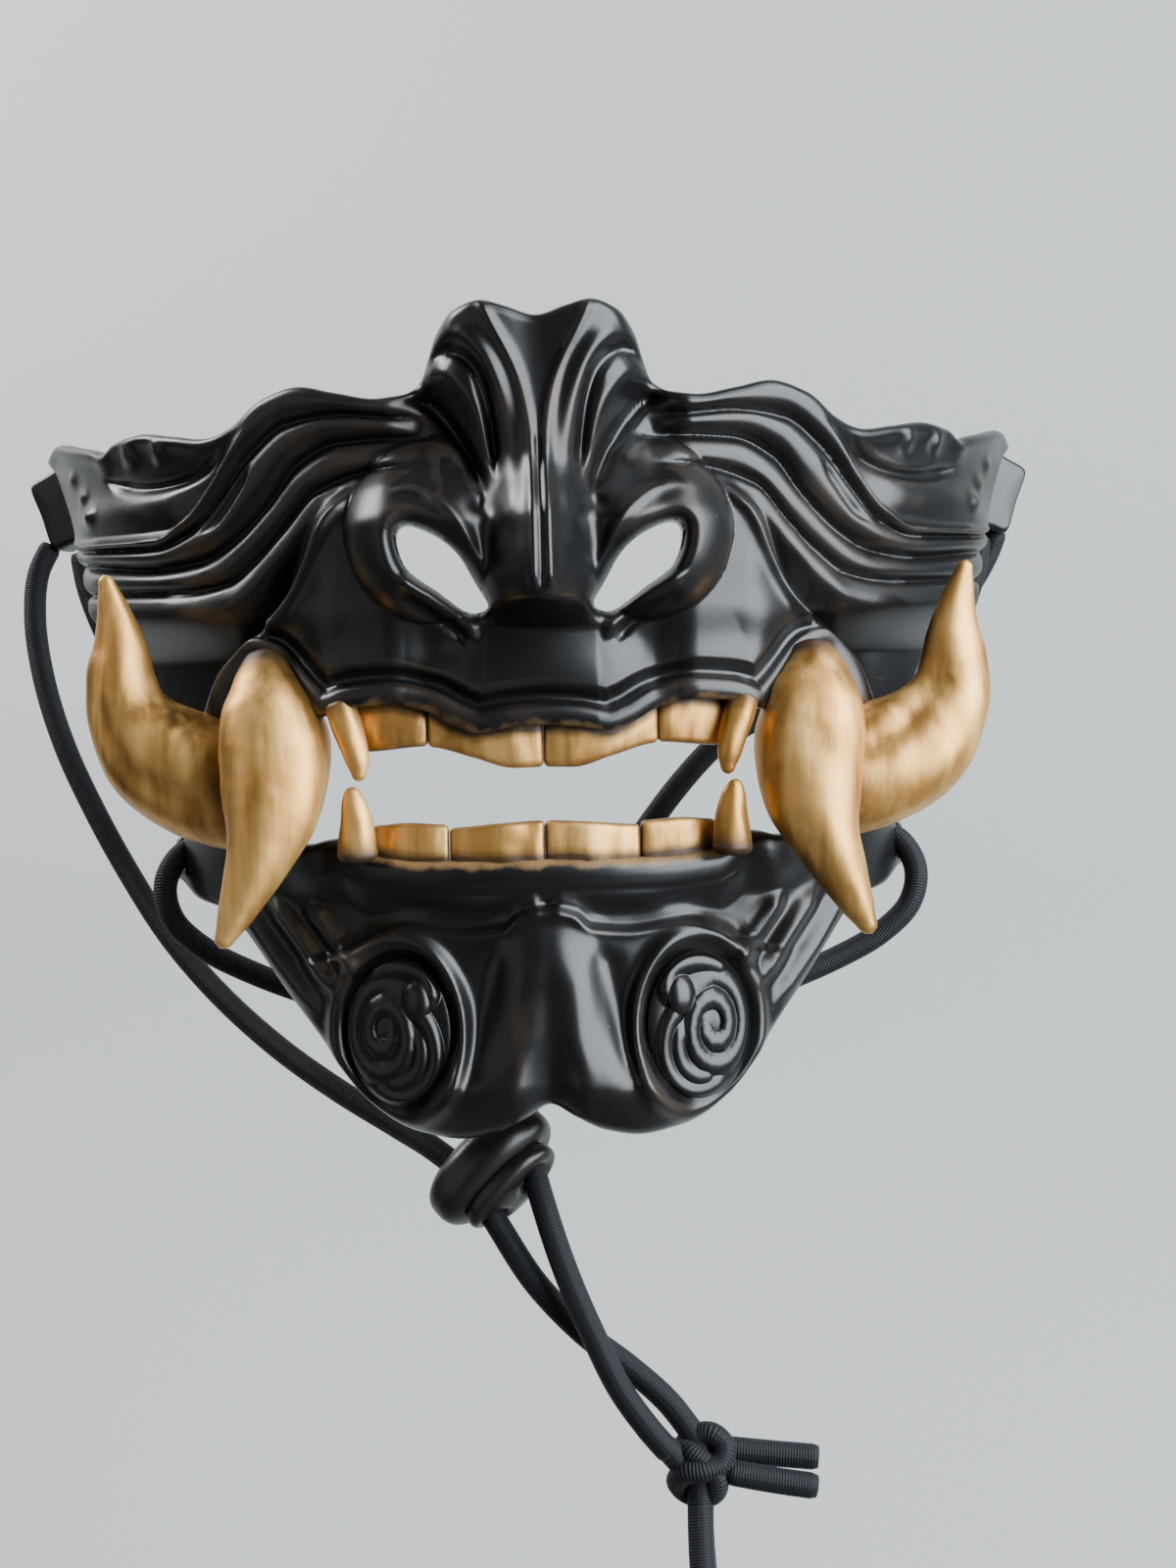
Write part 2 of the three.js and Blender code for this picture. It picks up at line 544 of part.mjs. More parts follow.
addPiece(cordGroup, 'cord_knot', cut(knotGeometry(), ...grownCords), 'elastic');

const grownUpper = upperShell(GAP);
const clearUpper = upperShell(GAP + 0.4);
const grownJaw = jawShell(GAP);
addPiece(upperGroup, 'upper_shell', cut(upperShell(), nostrilTool(1), nostrilTool(-1)), 'lacquer');
addPiece(jawGroup, 'lower_jaw', cut(jawShell(), grownCords[2]), 'lacquer');

for (const [sideName, side] of [['left', -1], ['right', 1]]) {
  const grownFang = hornGeometry(FANG, side, GAP);
  const besideUpper = upperShell(GAP);
  besideUpper.translate(-0.4 * side, -0.4, -0.4);
  addPiece(upperGroup, `big_fang_${sideName}`, cut(hornGeometry(FANG, side), clearUpper, besideUpper), 'gold');
  addPiece(upperGroup, `tusk_${sideName}`, cut(hornGeometry(TUSK, side), clearUpper, besideUpper, grownFang, grownJaw), 'gold');
  addPiece(upperGroup, `upper_small_fang_${sideName}`, cut(hornGeometry(SMALL_FANG_UPPER, side, 0, 7, 8), grownUpper, grownFang), 'gold');
  addPiece(jawGroup, `lower_small_fang_${sideName}`, cut(hornGeometry(SMALL_FANG_LOWER, side, 0, 7, 8), grownJaw, grownFang), 'gold');
  for (const { name, y, outline } of UPPER_TEETH) {
    addPiece(upperGroup, `upper_tooth_${name}_${sideName}`, cut(plateGeometry(outline, side, y - 4.4, TOOTH_DEPTH, 0.8), grownUpper), 'gold');
  }
  for (const { name, y, outline } of LOWER_TEETH) {
    addPiece(jawGroup, `lower_tooth_${name}_${sideName}`, cut(plateGeometry(outline, side, y - 4.4, TOOTH_DEPTH, 0.8), grownJaw), 'gold');
  }
  addPiece(jawGroup, `roundel_${sideName}`, cut(roundelGeometry(side), grownJaw), 'lacquer');
  addPiece(upperGroup, `ear_lug_${sideName}`, cut(lugGeometry(side), grownUpper), 'lacquer');
}

export default mask;
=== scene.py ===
"""A demon-faced half mask: moulded black shells, gilded teeth, fangs and tusks, one elastic cord.

Shapes are drawn in the mask's own space, in millimetres, with zero in the middle of the open mouth on
the plane of the lips; `to_frame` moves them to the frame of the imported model, in metres.
"""
import logging
import math
from contextlib import contextmanager
from dataclasses import dataclass, field
from enum import Enum
from typing import Callable, Iterator, Sequence

import bmesh
import bpy
import numpy as np
from mathutils import Matrix, Vector


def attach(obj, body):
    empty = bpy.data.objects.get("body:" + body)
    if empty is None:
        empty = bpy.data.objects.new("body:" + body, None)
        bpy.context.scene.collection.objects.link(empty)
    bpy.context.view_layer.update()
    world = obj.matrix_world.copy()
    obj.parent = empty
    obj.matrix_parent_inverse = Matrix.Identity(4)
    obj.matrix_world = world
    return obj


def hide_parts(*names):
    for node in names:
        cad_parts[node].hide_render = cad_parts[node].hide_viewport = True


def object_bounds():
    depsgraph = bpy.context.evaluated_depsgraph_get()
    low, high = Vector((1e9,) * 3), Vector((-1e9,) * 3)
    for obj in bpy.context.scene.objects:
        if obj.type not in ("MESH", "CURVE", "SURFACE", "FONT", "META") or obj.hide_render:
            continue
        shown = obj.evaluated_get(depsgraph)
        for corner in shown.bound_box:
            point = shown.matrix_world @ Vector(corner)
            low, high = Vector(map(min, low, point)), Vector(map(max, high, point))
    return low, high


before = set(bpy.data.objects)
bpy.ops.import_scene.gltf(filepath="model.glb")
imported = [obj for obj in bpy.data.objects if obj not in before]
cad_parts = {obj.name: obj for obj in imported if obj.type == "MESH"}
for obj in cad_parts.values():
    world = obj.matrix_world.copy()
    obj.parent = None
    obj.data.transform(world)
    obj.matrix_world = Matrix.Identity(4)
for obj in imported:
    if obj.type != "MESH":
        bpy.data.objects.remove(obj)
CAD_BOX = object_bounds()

LOG = logging.getLogger("face_guard")
BODY = "root"
FINISH = "_finish"
SPECK_CELLS = 900.0
MM = 0.001
SEAT_DEPTH = -8.0
SEAT_HEIGHT = 66.0
WALL = 3.2
CORD_DIAMETER = 4.5
SPAN_SAMPLES = 24
SWELLS = 7
TINY = 1e-6
FORWARD = np.array([0.0, -1.0, 0.0])

Array = np.ndarray
Points = Sequence[Sequence[float]]
Triple = tuple[float, float, float]
Face = tuple[int, ...]
Piece = bpy.types.Object
Socket = bpy.types.NodeSocket


class Side(Enum):
    """The two halves of the mask, as seen from the front."""

    LEFT = -1
    RIGHT = 1

    @property
    def word(self) -> str:
        """The side's name in a node's name."""
        return self.name.lower()

    def mirror(self, points: Points) -> Array:
        """Points drawn on the right half, moved to this side's half."""
        return np.asarray(points, dtype=float) * (self.value, 1, 1)


class Slot(Enum):
    """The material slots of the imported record."""

    LACQUER = "shell_lacquer"
    GOLD = "antique_gold"
    ELASTIC = "elastic_cord"
    STOPPER = "stopper_plastic"


# ------------------------------------------------------------------ small maths


def to_frame(points: Array) -> Array:
    """Moves points from the mask's own space, in millimetres, to the frame, in metres."""
    return (np.asarray(points, dtype=float) + (0.0, -SEAT_DEPTH, -SEAT_HEIGHT)) * MM


def smooth(low: float, high: float, value: Array) -> Array:
    """A soft step from 0 at low to 1 at high."""
    s = np.clip((value - low) / (high - low), 0.0, 1.0)
    return s * s * (3.0 - 2.0 * s)


def bell(distance: Array, width: float) -> Array:
    """A round bump of height 1 at no distance."""
    return np.exp(-((distance / width) ** 2))


def soft_max(first: Array, second: Array, blend: float) -> Array:
    """The larger of two heights, with a fillet where they meet."""
    near = np.maximum(blend - np.abs(first - second), 0.0) / blend
    return np.maximum(first, second) + near * near * blend / 4.0


class Profile:
    """A curve through given points that never overshoots them."""

    def __init__(self, points: Points) -> None:
        """Prepares the curve.

        Args:
            points: pairs of position and value, positions rising.
        """
        data = np.asarray(points, dtype=float)
        self.at, self.value = data[:, 0], data[:, 1]
        slope = np.diff(self.value) / np.diff(self.at)
        product = slope[:-1] * slope[1:]
        total = np.where(product > 0, slope[:-1] + slope[1:], 1.0)
        self.tangent = np.zeros_like(self.at)
        self.tangent[1:-1] = np.where(product > 0, 2.0 * product / total, 0.0)

    def __call__(self, position: Array) -> Array:
        """The curve's value at each position.

        Args:
            position: positions along the curve.

        Returns:
            The values.
        """
        spot = np.clip(position, self.at[0], self.at[-1])
        i = np.clip(np.searchsorted(self.at, spot, side="right") - 1, 0, len(self.at) - 2)
        span = self.at[i + 1] - self.at[i]
        s = (spot - self.at[i]) / span
        s2, s3 = s * s, s * s * s
        ends = self.value[i] * (2 * s3 - 3 * s2 + 1) + self.value[i + 1] * (3 * s2 - 2 * s3)
        return ends + span * (self.tangent[i] * (s3 - 2 * s2 + s) + self.tangent[i + 1] * (s3 - s2))

    def drawn(self, samples: int) -> Array:
        """The curve from end to end as points of (position, value)."""
        at = np.linspace(self.at[0], self.at[-1], samples)
        return np.stack([at, self(at)], 1)


def smooth_line(points: Points, samples: int, closed: bool = False) -> Array:
    """A rounded line through the points.

    Args:
        points: the given points, in any number of dimensions.
        samples: how many points the answer has.
        closed: whether the line returns to its first point.

    Returns:
        The points of the line, evenly spaced along it.
    """
    data = np.asarray(points, dtype=float)
    if closed:
        data = np.vstack([data[-1:], data, data[:2]])
    else:
        data = np.vstack([2 * data[0] - data[1], data, 2 * data[-1] - data[-2]])
    pieces = []
    for before, start, end, after in zip(data, data[1:], data[2:], data[3:]):
        knots = [0.0]
        for a, b in ((before, start), (start, end), (end, after)):
            knots.append(knots[-1] + max(float(np.linalg.norm(b - a)) ** 0.5, TINY))
        t = np.linspace(knots[1], knots[2], SPAN_SAMPLES, endpoint=False)[:, None]
        first = blend_points(before, start, knots[0], knots[1], t)
        second = blend_points(start, end, knots[1], knots[2], t)
        third = blend_points(end, after, knots[2], knots[3], t)
        left = blend_points(first, second, knots[0], knots[2], t)
        right = blend_points(second, third, knots[1], knots[3], t)
        pieces.append(blend_points(left, right, knots[1], knots[2], t))
    line = np.vstack(pieces + [data[-2:-1]])
    return evenly(line, samples)


def blend_points(first: Array, second: Array, low: float, high: float, t: Array) -> Array:
    """The point between two others, by where t stands between low and high."""
    return first + (second - first) * ((t - low) / (high - low))


def evenly(line: Array, samples: int) -> Array:
    """Spaces a line's points evenly along it.

    Args:
        line: the line's points.
        samples: how many points the answer has.

    Returns:
        The spaced points.
    """
    walked = np.concatenate([[0.0], np.cumsum(np.linalg.norm(np.diff(line, axis=0), axis=1))])
    marks = np.linspace(0.0, walked[-1], samples)
    return np.stack([np.interp(marks, walked, column) for column in line.T], axis=1)


def line_length(line: Array) -> float:
    """The length of a line of points."""
    return float(np.linalg.norm(np.diff(line, axis=0), axis=1).sum())


def distance_to_line(x: Array, z: Array, line: Array) -> tuple[Array, Array]:
    """How far points of the face are from a line drawn on it.

    Args:
        x: positions across the face.
        z: heights.
        line: the line's points as (x, z).

    Returns:
        The distance, and how far along the line the nearest point is, from 0 to 1.
    """
    best = np.full(x.shape, np.inf)
    along = np.zeros(x.shape)
    for k, (start, end) in enumerate(zip(line[:-1], line[1:])):
        step = end - start
        t = np.clip(((x - start[0]) * step[0] + (z - start[1]) * step[1]) / (step @ step), 0.0, 1.0)
        away = np.hypot(x - start[0] - t * step[0], z - start[1] - t * step[1])
        closer = away < best
        best = np.where(closer, away, best)
        along = np.where(closer, (k + t) / (len(line) - 1), along)
    return best, along


def inside_outline(x: Array, z: Array, outline: Array) -> Array:
    """Whether points of the face are inside a closed outline.

    Args:
        x: positions across the face.
        z: heights.
        outline: the outline's points as (x, z).

    Returns:
        True where the point is inside.
    """
    inside = np.zeros(x.shape, dtype=bool)
    for (x1, z1), (x2, z2) in zip(outline, np.roll(outline, -1, axis=0)):
        if z1 == z2:
            continue
        crossing = (z1 > z) != (z2 > z)
        inside ^= crossing & (x < x1 + (z - z1) * (x2 - x1) / (z2 - z1))
    return inside


def waves(x: Array, z: Array, seed: int, size: float) -> Array:
    """A gentle unevenness between -1 and 1, as hand modelling leaves.

    Args:
        x: positions across.
        z: heights.
        seed: which pattern.
        size: the distance from one swell to the next, in the unit of x.

    Returns:
        The unevenness at each point.
    """
    rng = np.random.default_rng(seed)
    total = np.zeros(x.shape)
    for _ in range(SWELLS):
        angle, phase = rng.uniform(0, math.tau, 2)
        rate = math.tau / (size * rng.uniform(0.7, 1.6))
        total += np.sin(rate * (x * math.cos(angle) + z * math.sin(angle)) + phase)
    return total / SWELLS


# ------------------------------------------------------------------ meshes


@dataclass
class MeshParts:
    """Points, faces and painted values of a mesh that is being put together."""

    points: list[Array] = field(default_factory=list)
    faces: list[Face] = field(default_factory=list)
    paint: dict[str, list[Array]] = field(default_factory=dict)
    count: int = 0

    def add(self, points: Array, faces: Sequence[Sequence[int]], **paint: Array) -> int:
        """Adds points and the faces between them.

        Args:
            points: the points, in millimetres in the mask's space.
            faces: faces as indices into these points.
            paint: values per point, by name.

        Returns:
            The index of the first new point.
        """
        first = self.count
        self.points.append(np.asarray(points, dtype=float).reshape(-1, 3))
        self.faces.extend(tuple(first + int(i) for i in face) for face in faces)
        for name, values in paint.items():
            self.paint.setdefault(name, []).append(np.asarray(values, dtype=float).ravel())
        self.count += len(self.points[-1])
        return first

    def build(self, name: str, slot: Slot, replaces: Sequence[str] = ()) -> Piece:
        """Makes the Blender object, dressed and riding on the body.

        Args:
            name: the piece's name.
            slot: the material slot whose finish it takes.
            replaces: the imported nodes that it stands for.

        Returns:
            The new object.
        """
        mesh = bpy.data.meshes.new(name)
        mesh.from_pydata(to_frame(np.vstack(self.points)).tolist(), [], self.faces)
        for label, values in self.paint.items():
            data = np.concatenate(values)
            layer = mesh.attributes.new(label, "FLOAT", "POINT")
            layer.data.foreach_set("value", data.astype(np.float32))
        mesh.validate()
        mesh.shade_smooth()
        piece = add_object(name, mesh)
        face_outward(piece)
        piece.data.materials.append(bpy.data.materials[slot.value + FINISH])
        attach(piece, BODY)
        if replaces:
            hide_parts(*replaces)
        LOG.info("%s: %d faces", name, len(mesh.polygons))
        return piece


def add_object(name: str, data: bpy.types.ID) -> Piece:
    """A new object in the scene.

    Args:
        name: its name.
        data: the mesh, lamp or camera it shows.

    Returns:
        The new object.
    """
    piece = bpy.data.objects.new(name, data)
    bpy.context.scene.collection.objects.link(piece)
    return piece


@contextmanager
def mesh_work(piece: Piece) -> Iterator[bmesh.types.BMesh]:
    """Opens a piece's mesh for editing and writes it back.

    Args:
        piece: the piece.

    Yields:
        The mesh, open for editing.
    """
    work = bmesh.new()
    work.from_mesh(piece.data)
    yield work
    work.to_mesh(piece.data)
    work.free()


def face_outward(piece: Piece) -> None:
    """Turns all faces of a closed mesh outward.

    Args:
        piece: the piece.
    """
    with mesh_work(piece) as work:
        bmesh.ops.recalc_face_normals(work, faces=work.faces)
        if work.calc_volume(signed=True) < 0:
            bmesh.ops.reverse_faces(work, faces=work.faces)


def merge_points(piece: Piece) -> None:
    """Joins points of a mesh that lie on each other."""
    with mesh_work(piece) as work:
        bmesh.ops.remove_doubles(work, verts=work.verts, dist=TINY)


def grid_faces(rows: int, columns: int, wrap: bool = False) -> list[Face]:
    """Faces of a grid of points laid row after row.

    Args:
        rows: points one way.
        columns: points in a row.
        wrap: whether each row closes on itself.

    Returns:
        The faces as point indices.
    """
    across = columns if wrap else columns - 1
    j, i = np.meshgrid(np.arange(rows - 1), np.arange(across), indexing="ij")
    after = (i + 1) % columns
    a, b = j * columns + i, j * columns + after
    faces = np.stack([a, b, b + columns, a + columns], axis=-1)
    return [tuple(face) for face in faces.reshape(-1, 4).tolist()]


def capped_faces(rings: int, sides: int) -> list[Face]:
    """Faces of a stack of rings, closed at both ends.

    Args:
        rings: how many rings.
        sides: points in a ring.

    Returns:
        The faces as point indices.
    """
    last = (rings - 1) * sides
    caps = [tuple(range(sides)), tuple(range(last + sides - 1, last - 1, -1))]
    return grid_faces(rings, sides, wrap=True) + caps


def sweep(line: Array, radii: Array, sides: int, flatten: float = 1.0, facing: Array | None = None,
          shape: Callable[[Array, Array], Array] | None = None) -> tuple[Array, Array, Array]:
    """Rings of points along a line.

    Args:
        line: the centre line's points.
        radii: the radius at each of them.
        sides: points in a ring.
        flatten: the ring's depth as a share of its width.
        facing: the direction that the rings' depth faces; none carries the ring along without twist.
        shape: an optional factor on the radius, from (share along, angle).

    Returns:
        The points, and for each point how far along it is and its angle round the ring.
    """
    tangents = np.gradient(line, axis=0)
    tangents /= np.linalg.norm(tangents, axis=1, keepdims=True)
    across = np.zeros_like(line)
    carried = np.cross(tangents[0], (0.3, -0.8, 0.5) if facing is None else facing)
    for k, tangent in enumerate(tangents):
        if facing is not None:
            carried = np.cross(tangent, facing)
        carried = carried - tangent * (carried @ tangent)
        carried /= np.linalg.norm(carried)
        across[k] = carried
    out = np.cross(across, tangents)
    angles = np.linspace(0, math.tau, sides, endpoint=False)
    share = np.linspace(0, 1, len(line))
    along, angle = np.meshgrid(share, angles, indexing="ij")
    radius = radii[:, None] * (1.0 if shape is None else shape(along, angle))
    points = (line[:, None] + across[:, None] * (radius * np.cos(angle))[..., None]
              + out[:, None] * (radius * flatten * np.sin(angle))[..., None])
    return points.reshape(-1, 3), along.ravel(), angle.ravel()


# ------------------------------------------------------------------ shells


@dataclass(frozen=True)
class Fold:
    """A soft ridge or groove along a line, on one side of the face or mirrored on both."""

    line: Points
    width: float
    rise: float
    fade: float = 0.18

    def relief(self, x: Array, z: Array) -> Array:
        """How far the fold lifts each point of the face.

        Args:
            x: positions across the face.
            z: heights.

        Returns:
            The lift at each point.
        """
        away, along = distance_to_line(x, z, smooth_line(self.line, 28))
        ends = np.minimum(smooth(0, self.fade, along), smooth(0, self.fade, 1 - along))
        width = self.width * (0.45 + 0.55 * ends)
        return self.rise * ends * np.exp(-((away / width) ** 2))


@dataclass(frozen=True)
class Dot:
    """A small round or upright oval swelling, or a dimple if its rise is negative."""

    x: float
    z: float
    radius: float
    rise: float
    tall: float = 1.0

    def relief(self, x: Array, z: Array) -> Array:
        """How far the dot moves each point of the face."""
        return self.rise * bell(np.hypot(x - self.x, (z - self.z) / self.tall), self.radius)


@dataclass
class MouldedShell:
    """A shell that wraps the face on an ellipse seen from above, between two edge curves."""

    name: str
    half_width: float
    depth: float
    columns: int
    rows: int
    crowd: float
    edge_roll: float = 2.0
    coarse: int = 4
    wall_probes: Sequence[float] = (0.45, 0.75, 0.93)
    probe_directions: int = 8
    front_half: float = 20.0
    side_start: float = 60.0

    def relief(self, x: Array, z: Array) -> Array:
        """How far the outer skin stands proud of the plan ellipse."""
        raise NotImplementedError

    def place(self, across: Array, up: Array) -> tuple[Array, Array]:
        """The (x, z) of a point of the sheet, from -1 to 1 across and 0 to 1 up."""
        raise NotImplementedError

    def edge_distance(self, x: Array, z: Array) -> Array:
        """The distance to the sheet's nearest free edge."""
        raise NotImplementedError

    def lift(self, x: Array, z: Array, rise: Array) -> Array:
        """Points over the plan ellipse.

        Args:
            x: positions across the face.
            z: heights.
            rise: how far out each point stands.

        Returns:
            The points, in the mask's space.
        """
        sine = np.clip(x / self.half_width, -0.999, 0.999)
        cosine = np.sqrt(1 - sine * sine)
        sideways = self.depth * sine * smooth(self.front_half, self.side_start, np.abs(x))
        forward = -self.half_width * cosine
        length = np.hypot(sideways, forward)
        y = self.depth * (1 - cosine) + rise * forward / length
        return np.stack([x + rise * sideways / length, y, z], -1)

    def inner_rise(self, x: Array, z: Array) -> Array:
        """The relief pushed in by the wall, measured square to the surface.

        Args:
            x: positions across the face.
            z: heights.

        Returns:
            The inner skin's height.
        """
        rise = self.relief(x, z) - WALL
        for share in self.wall_probes:
            reach = WALL * share
            drop = math.sqrt(WALL * WALL - reach * reach)
            for angle in np.arange(self.probe_directions) * math.tau / self.probe_directions:
                moved = self.relief(x + reach * math.cos(angle), z + reach * math.sin(angle))
                rise = np.minimum(rise, moved - drop)
        return rise

    def sheet(self, step: int) -> tuple[Array, Array]:
        """The (x, z) grid of the sheet, with every step-th column and row.

        Args:
            step: how many fine rows and columns apart the kept ones are.

        Returns:
            The positions across and the heights.
        """
        s = np.linspace(-1, 1, self.columns * self.coarse // step + 1)
        across = s * ((1 - self.crowd) + self.crowd * s * s)
        up = np.linspace(0, 1, self.rows * self.coarse // step + 1)
        up_grid, across_grid = np.meshgrid(up, across, indexing="ij")
        return self.place(across_grid, up_grid)

    def parts(self) -> MeshParts:
        """The closed wall: fine outer skin, coarse inner skin and the rim between them.

        Returns:
            The mesh under construction.
        """
        x, z = self.sheet(1)
        rise = self.relief(x, z)
        edge = np.clip(1 - self.edge_distance(x, z) / self.edge_roll, 0, 1)
        rolled = rise - self.edge_roll * (1 - np.sqrt(1 - edge * edge * 0.96))
        outer = self.lift(x, z, rolled)
        wear = self.wear(x, z, rise)
        xi, zi = self.sheet(self.coarse)
        inner = self.lift(xi, zi, self.inner_rise(xi, zi))
        rows, columns = x.shape
        rows_in, columns_in = xi.shape
        parts = MeshParts()
        parts.add(outer, grid_faces(rows, columns), wear=wear, gilt=self.gilt(x, z))
        plain = np.zeros(xi.size)
        start = parts.add(inner, grid_faces(rows_in, columns_in), wear=plain, gilt=plain)
        fine = rim_indices(rows, columns)
        rough = rim_indices(rows_in, columns_in) + start
        step = self.coarse
        for k in range(len(rough)):
            here, following = rough[k], rough[(k + 1) % len(rough)]
            run = [fine[(k * step + i) % len(fine)] for i in range(step + 1)]
            half = step // 2
            for i in range(step):
                parts.faces.append((run[i], run[i + 1], here if i < half else following))
            parts.faces.append((run[half], following, here))
        return parts

    def gilt(self, x: Array, z: Array) -> Array:
        """How much gold dust has settled beside the teeth."""
        raise NotImplementedError

    def opening_distance(self, x: Array, z: Array) -> Array:
        """How far a point of a tooth is from the lip's edge."""
        raise NotImplementedError

    def wear(self, x: Array, z: Array, rise: Array) -> Array:
        """Where the finish is rubbed: positive on ridges, negative in creases.

        Args:
            x: positions across the face.
            z: heights.
            rise: the relief at each point.

        Returns:
            The wear, from -1 to 1.
        """
        blurred = rise.copy()
        for _ in range(6):
            padded = np.pad(blurred, 1, mode="edge")
            blurred = (padded[:-2, 1:-1] + padded[2:, 1:-1] + padded[1:-1, :-2] + padded[1:-1, 2:]) / 4
        return np.clip((rise - blurred) * 14, -1, 1)


def rim_indices(rows: int, columns: int) -> Array:
    """Indices of a grid's border points, in order round it.

    Args:
        rows: the grid's rows.
        columns: points in a row.

    Returns:
        The indices.
    """
    bottom = np.arange(columns)
    right = np.arange(1, rows) * columns + columns - 1
    top = (rows - 1) * columns + np.arange(columns - 2, -1, -1)
    left = np.arange(rows - 2, 0, -1) * columns
    return np.concatenate([bottom, right, top, left])


@dataclass
class UpperShell(MouldedShell):
    """The nose, cheeks and upper lip, with its two open nostrils."""

    name: str = "upper_shell"
    half_width: float = 100.0
    depth: float = 109.0
    columns: int = 116
    rows: int = 44
    crowd: float = 0.3
    muzzle_rise: float = 6.0
    wing_center: tuple[float, float] = (19.0, 44.0)
    wing_size: tuple[float, float] = (13.6, 16.2)
    wing_rise: float = 9.5
    wing_fillet: float = 4.0
    band_steepness: float = 2.4
    valley_depth: float = 1.6
    panel_slope: float = 0.13
    unevenness: float = 0.16
    rear_share: float = 2.2
    nostril_roll: float = 2.6
    cut_from: float = -50.0
    cut_to: float = 30.0

    def __post_init__(self) -> None:
        """Prepares the edges and the lines that the relief follows."""
        self.top = Profile([
            (0, 79.8), (5, 81.2), (9.5, 82.3), (14, 81), (17, 77.5), (18.6, 73.5), (20, 70), (23.4, 68),
            (27.5, 67.4), (34.5, 68.9), (41, 70.5), (46.7, 69), (52, 65.3), (58, 63.6), (64, 64.8),
            (72, 66.5), (77, 66), (79.6, 64.4), (82, 65.6), (88, 68), (93, 70), (96.4, 69)])
        self.bottom = Profile([
            (0, 10.2), (6, 9.8), (11, 9), (15, 10.3), (20, 13), (26, 14.3), (31.5, 14), (37.5, 12.6),
            (40.5, 15.2), (44, 19.2), (47, 22.4), (49.4, 23.2), (51.8, 21.4), (54.2, 17.4), (56.8, 12.6),
            (61, 11.6), (67, 12), (74, 14)])
        self.rear = Profile([
            (14, 74), (28, 80), (38, 84.6), (45, 87.4), (52, 89.4), (58, 91.8), (64, 95), (69, 96.4)])
        self.nose_rise = Profile([
            (10, 0), (26, 1), (28.5, 8), (31, 17), (36, 18), (42, 17), (50, 15), (60, 13), (68, 11.5),
            (75, 11), (82, 11)])
        self.nose_width = Profile([(28, 9), (34, 9.5), (42, 9), (50, 9), (60, 12), (68, 16), (75, 18.5),
                                   (82, 19.5)])
        self.muzzle_side = Profile([
            (10, 60), (20, 57), (27, 50), (29.4, 45.8), (33.3, 42.2), (40, 38.6), (47, 35.5), (51.4, 31.6),
            (60, 29)])
        self.nostril = smooth_line([
            (24.2, 43), (22.9, 44.4), (18.1, 42.8), (14, 39.5), (11.3, 35), (9, 30.3), (12, 29.6),
            (17.6, 33.2), (22.8, 37.3)], 72, closed=True)[:-1]
        self.bands = [
            (4.2, Profile([(25, 66), (34.5, 67.4), (41.6, 68.3), (46.6, 66.1), (51, 61.7), (55.3, 54.9),
                           (60.7, 48.6), (66, 46), (82, 47.2), (92, 50)])),
            (1.6, Profile([(25, 64), (34.4, 65), (42.9, 64.2), (49, 60), (54.1, 53.6), (59.2, 47.6),
                           (66.4, 44.8), (82, 46.3), (92, 49)])),
            (3.6, Profile([(22, 62.4), (36.8, 63.6), (42.2, 61.8), (46.5, 57.6), (50.7, 52.3), (55.2, 47.4),
                           (60.6, 44.2), (66.3, 43.2), (82, 45), (92, 47.4)])),
            (0.4, Profile([(26.7, 60.6), (34.3, 60.4), (41.4, 57.3), (46.3, 51), (52.5, 44.8), (59.1, 41.6),
                           (66.3, 40.9), (82, 43.2), (92, 45.4)])),
            (2.8, Profile([(27.1, 57), (33.5, 57), (38.9, 54.4), (44.9, 48.4), (51.3, 42.4), (56.4, 39.1),
                           (62, 38.2), (82, 40.2), (92, 42)])),
            (0.6, Profile([(27.6, 55), (37.8, 52.4), (43.7, 46), (48.6, 40.8), (53.7, 37.2), (60.4, 36.2),
                           (82, 38), (92, 39.6)])),
        ]
        self.folds = [
            Fold([(1.5, 31), (1.4, 45), (1.5, 60), (2.9, 68), (4.6, 72.5), (7.6, 78),
                  (10, 83)], 0.95, 0.8, 0.06),
            Fold([(0.0, 31), (0.0, 45), (0.0, 60)], 0.8, -0.5, 0.1),
            Fold([(17.5, 76.4), (13.4, 76.6), (9.6, 73), (6.9, 66.5), (5.5, 59), (5.2, 50),
                  (5.6, 42)], 1.9, 1.0),
            Fold([(19.5, 73.2), (14.6, 74.4), (10.8, 71.4), (8.4, 65.6), (7.3, 58), (7, 51.5)], 1.25, -2.3),
            Fold([(21, 70.4), (16.4, 70.4), (12.6, 66.6), (10.1, 60.8), (8.6, 54.5), (7.9, 48)], 1.6, 1.7),
            Fold([(23.2, 66.6), (19.4, 66.6), (15.6, 63), (12.4, 58), (10, 52.6), (9.2, 48.4)], 1.3, -2.4),
            Fold([(20, 62.8), (15.6, 58.6), (12.6, 53.6)], 1.8, 0.6, 0.3),
            Fold([(25.5, 50), (21.5, 50.6), (16.5, 47.6), (13, 43.4), (10.9, 38.6), (9.4, 33.6)], 1.0, 1.0),
            Fold([(25, 36), (21, 33.4), (16.5, 30.6), (12.6, 27.6), (10.8, 24)], 1.3, 1.3),
            Fold([(24.5, 32.4), (19, 29.6), (14.6, 26.8), (12.6, 23.6)], 1.0, -1.0),
            Fold([(31.4, 52.4), (35.9, 47), (38.8, 40.2), (42.4, 33.3), (46, 29.6),
                  (49.5, 27.4)], 1.5, 1.7, 0.16),
            Fold([(48.6, 58), (51.6, 53), (55, 48.4), (58.6, 45.6)], 0.8, -1.3, 0.3),
            Fold([(54.9, 62), (58.2, 58.6), (63, 56.6), (69.6, 56.2), (75.8, 57.7),
                  (80.3, 60)], 1.1, -1.5, 0.2),
        ]
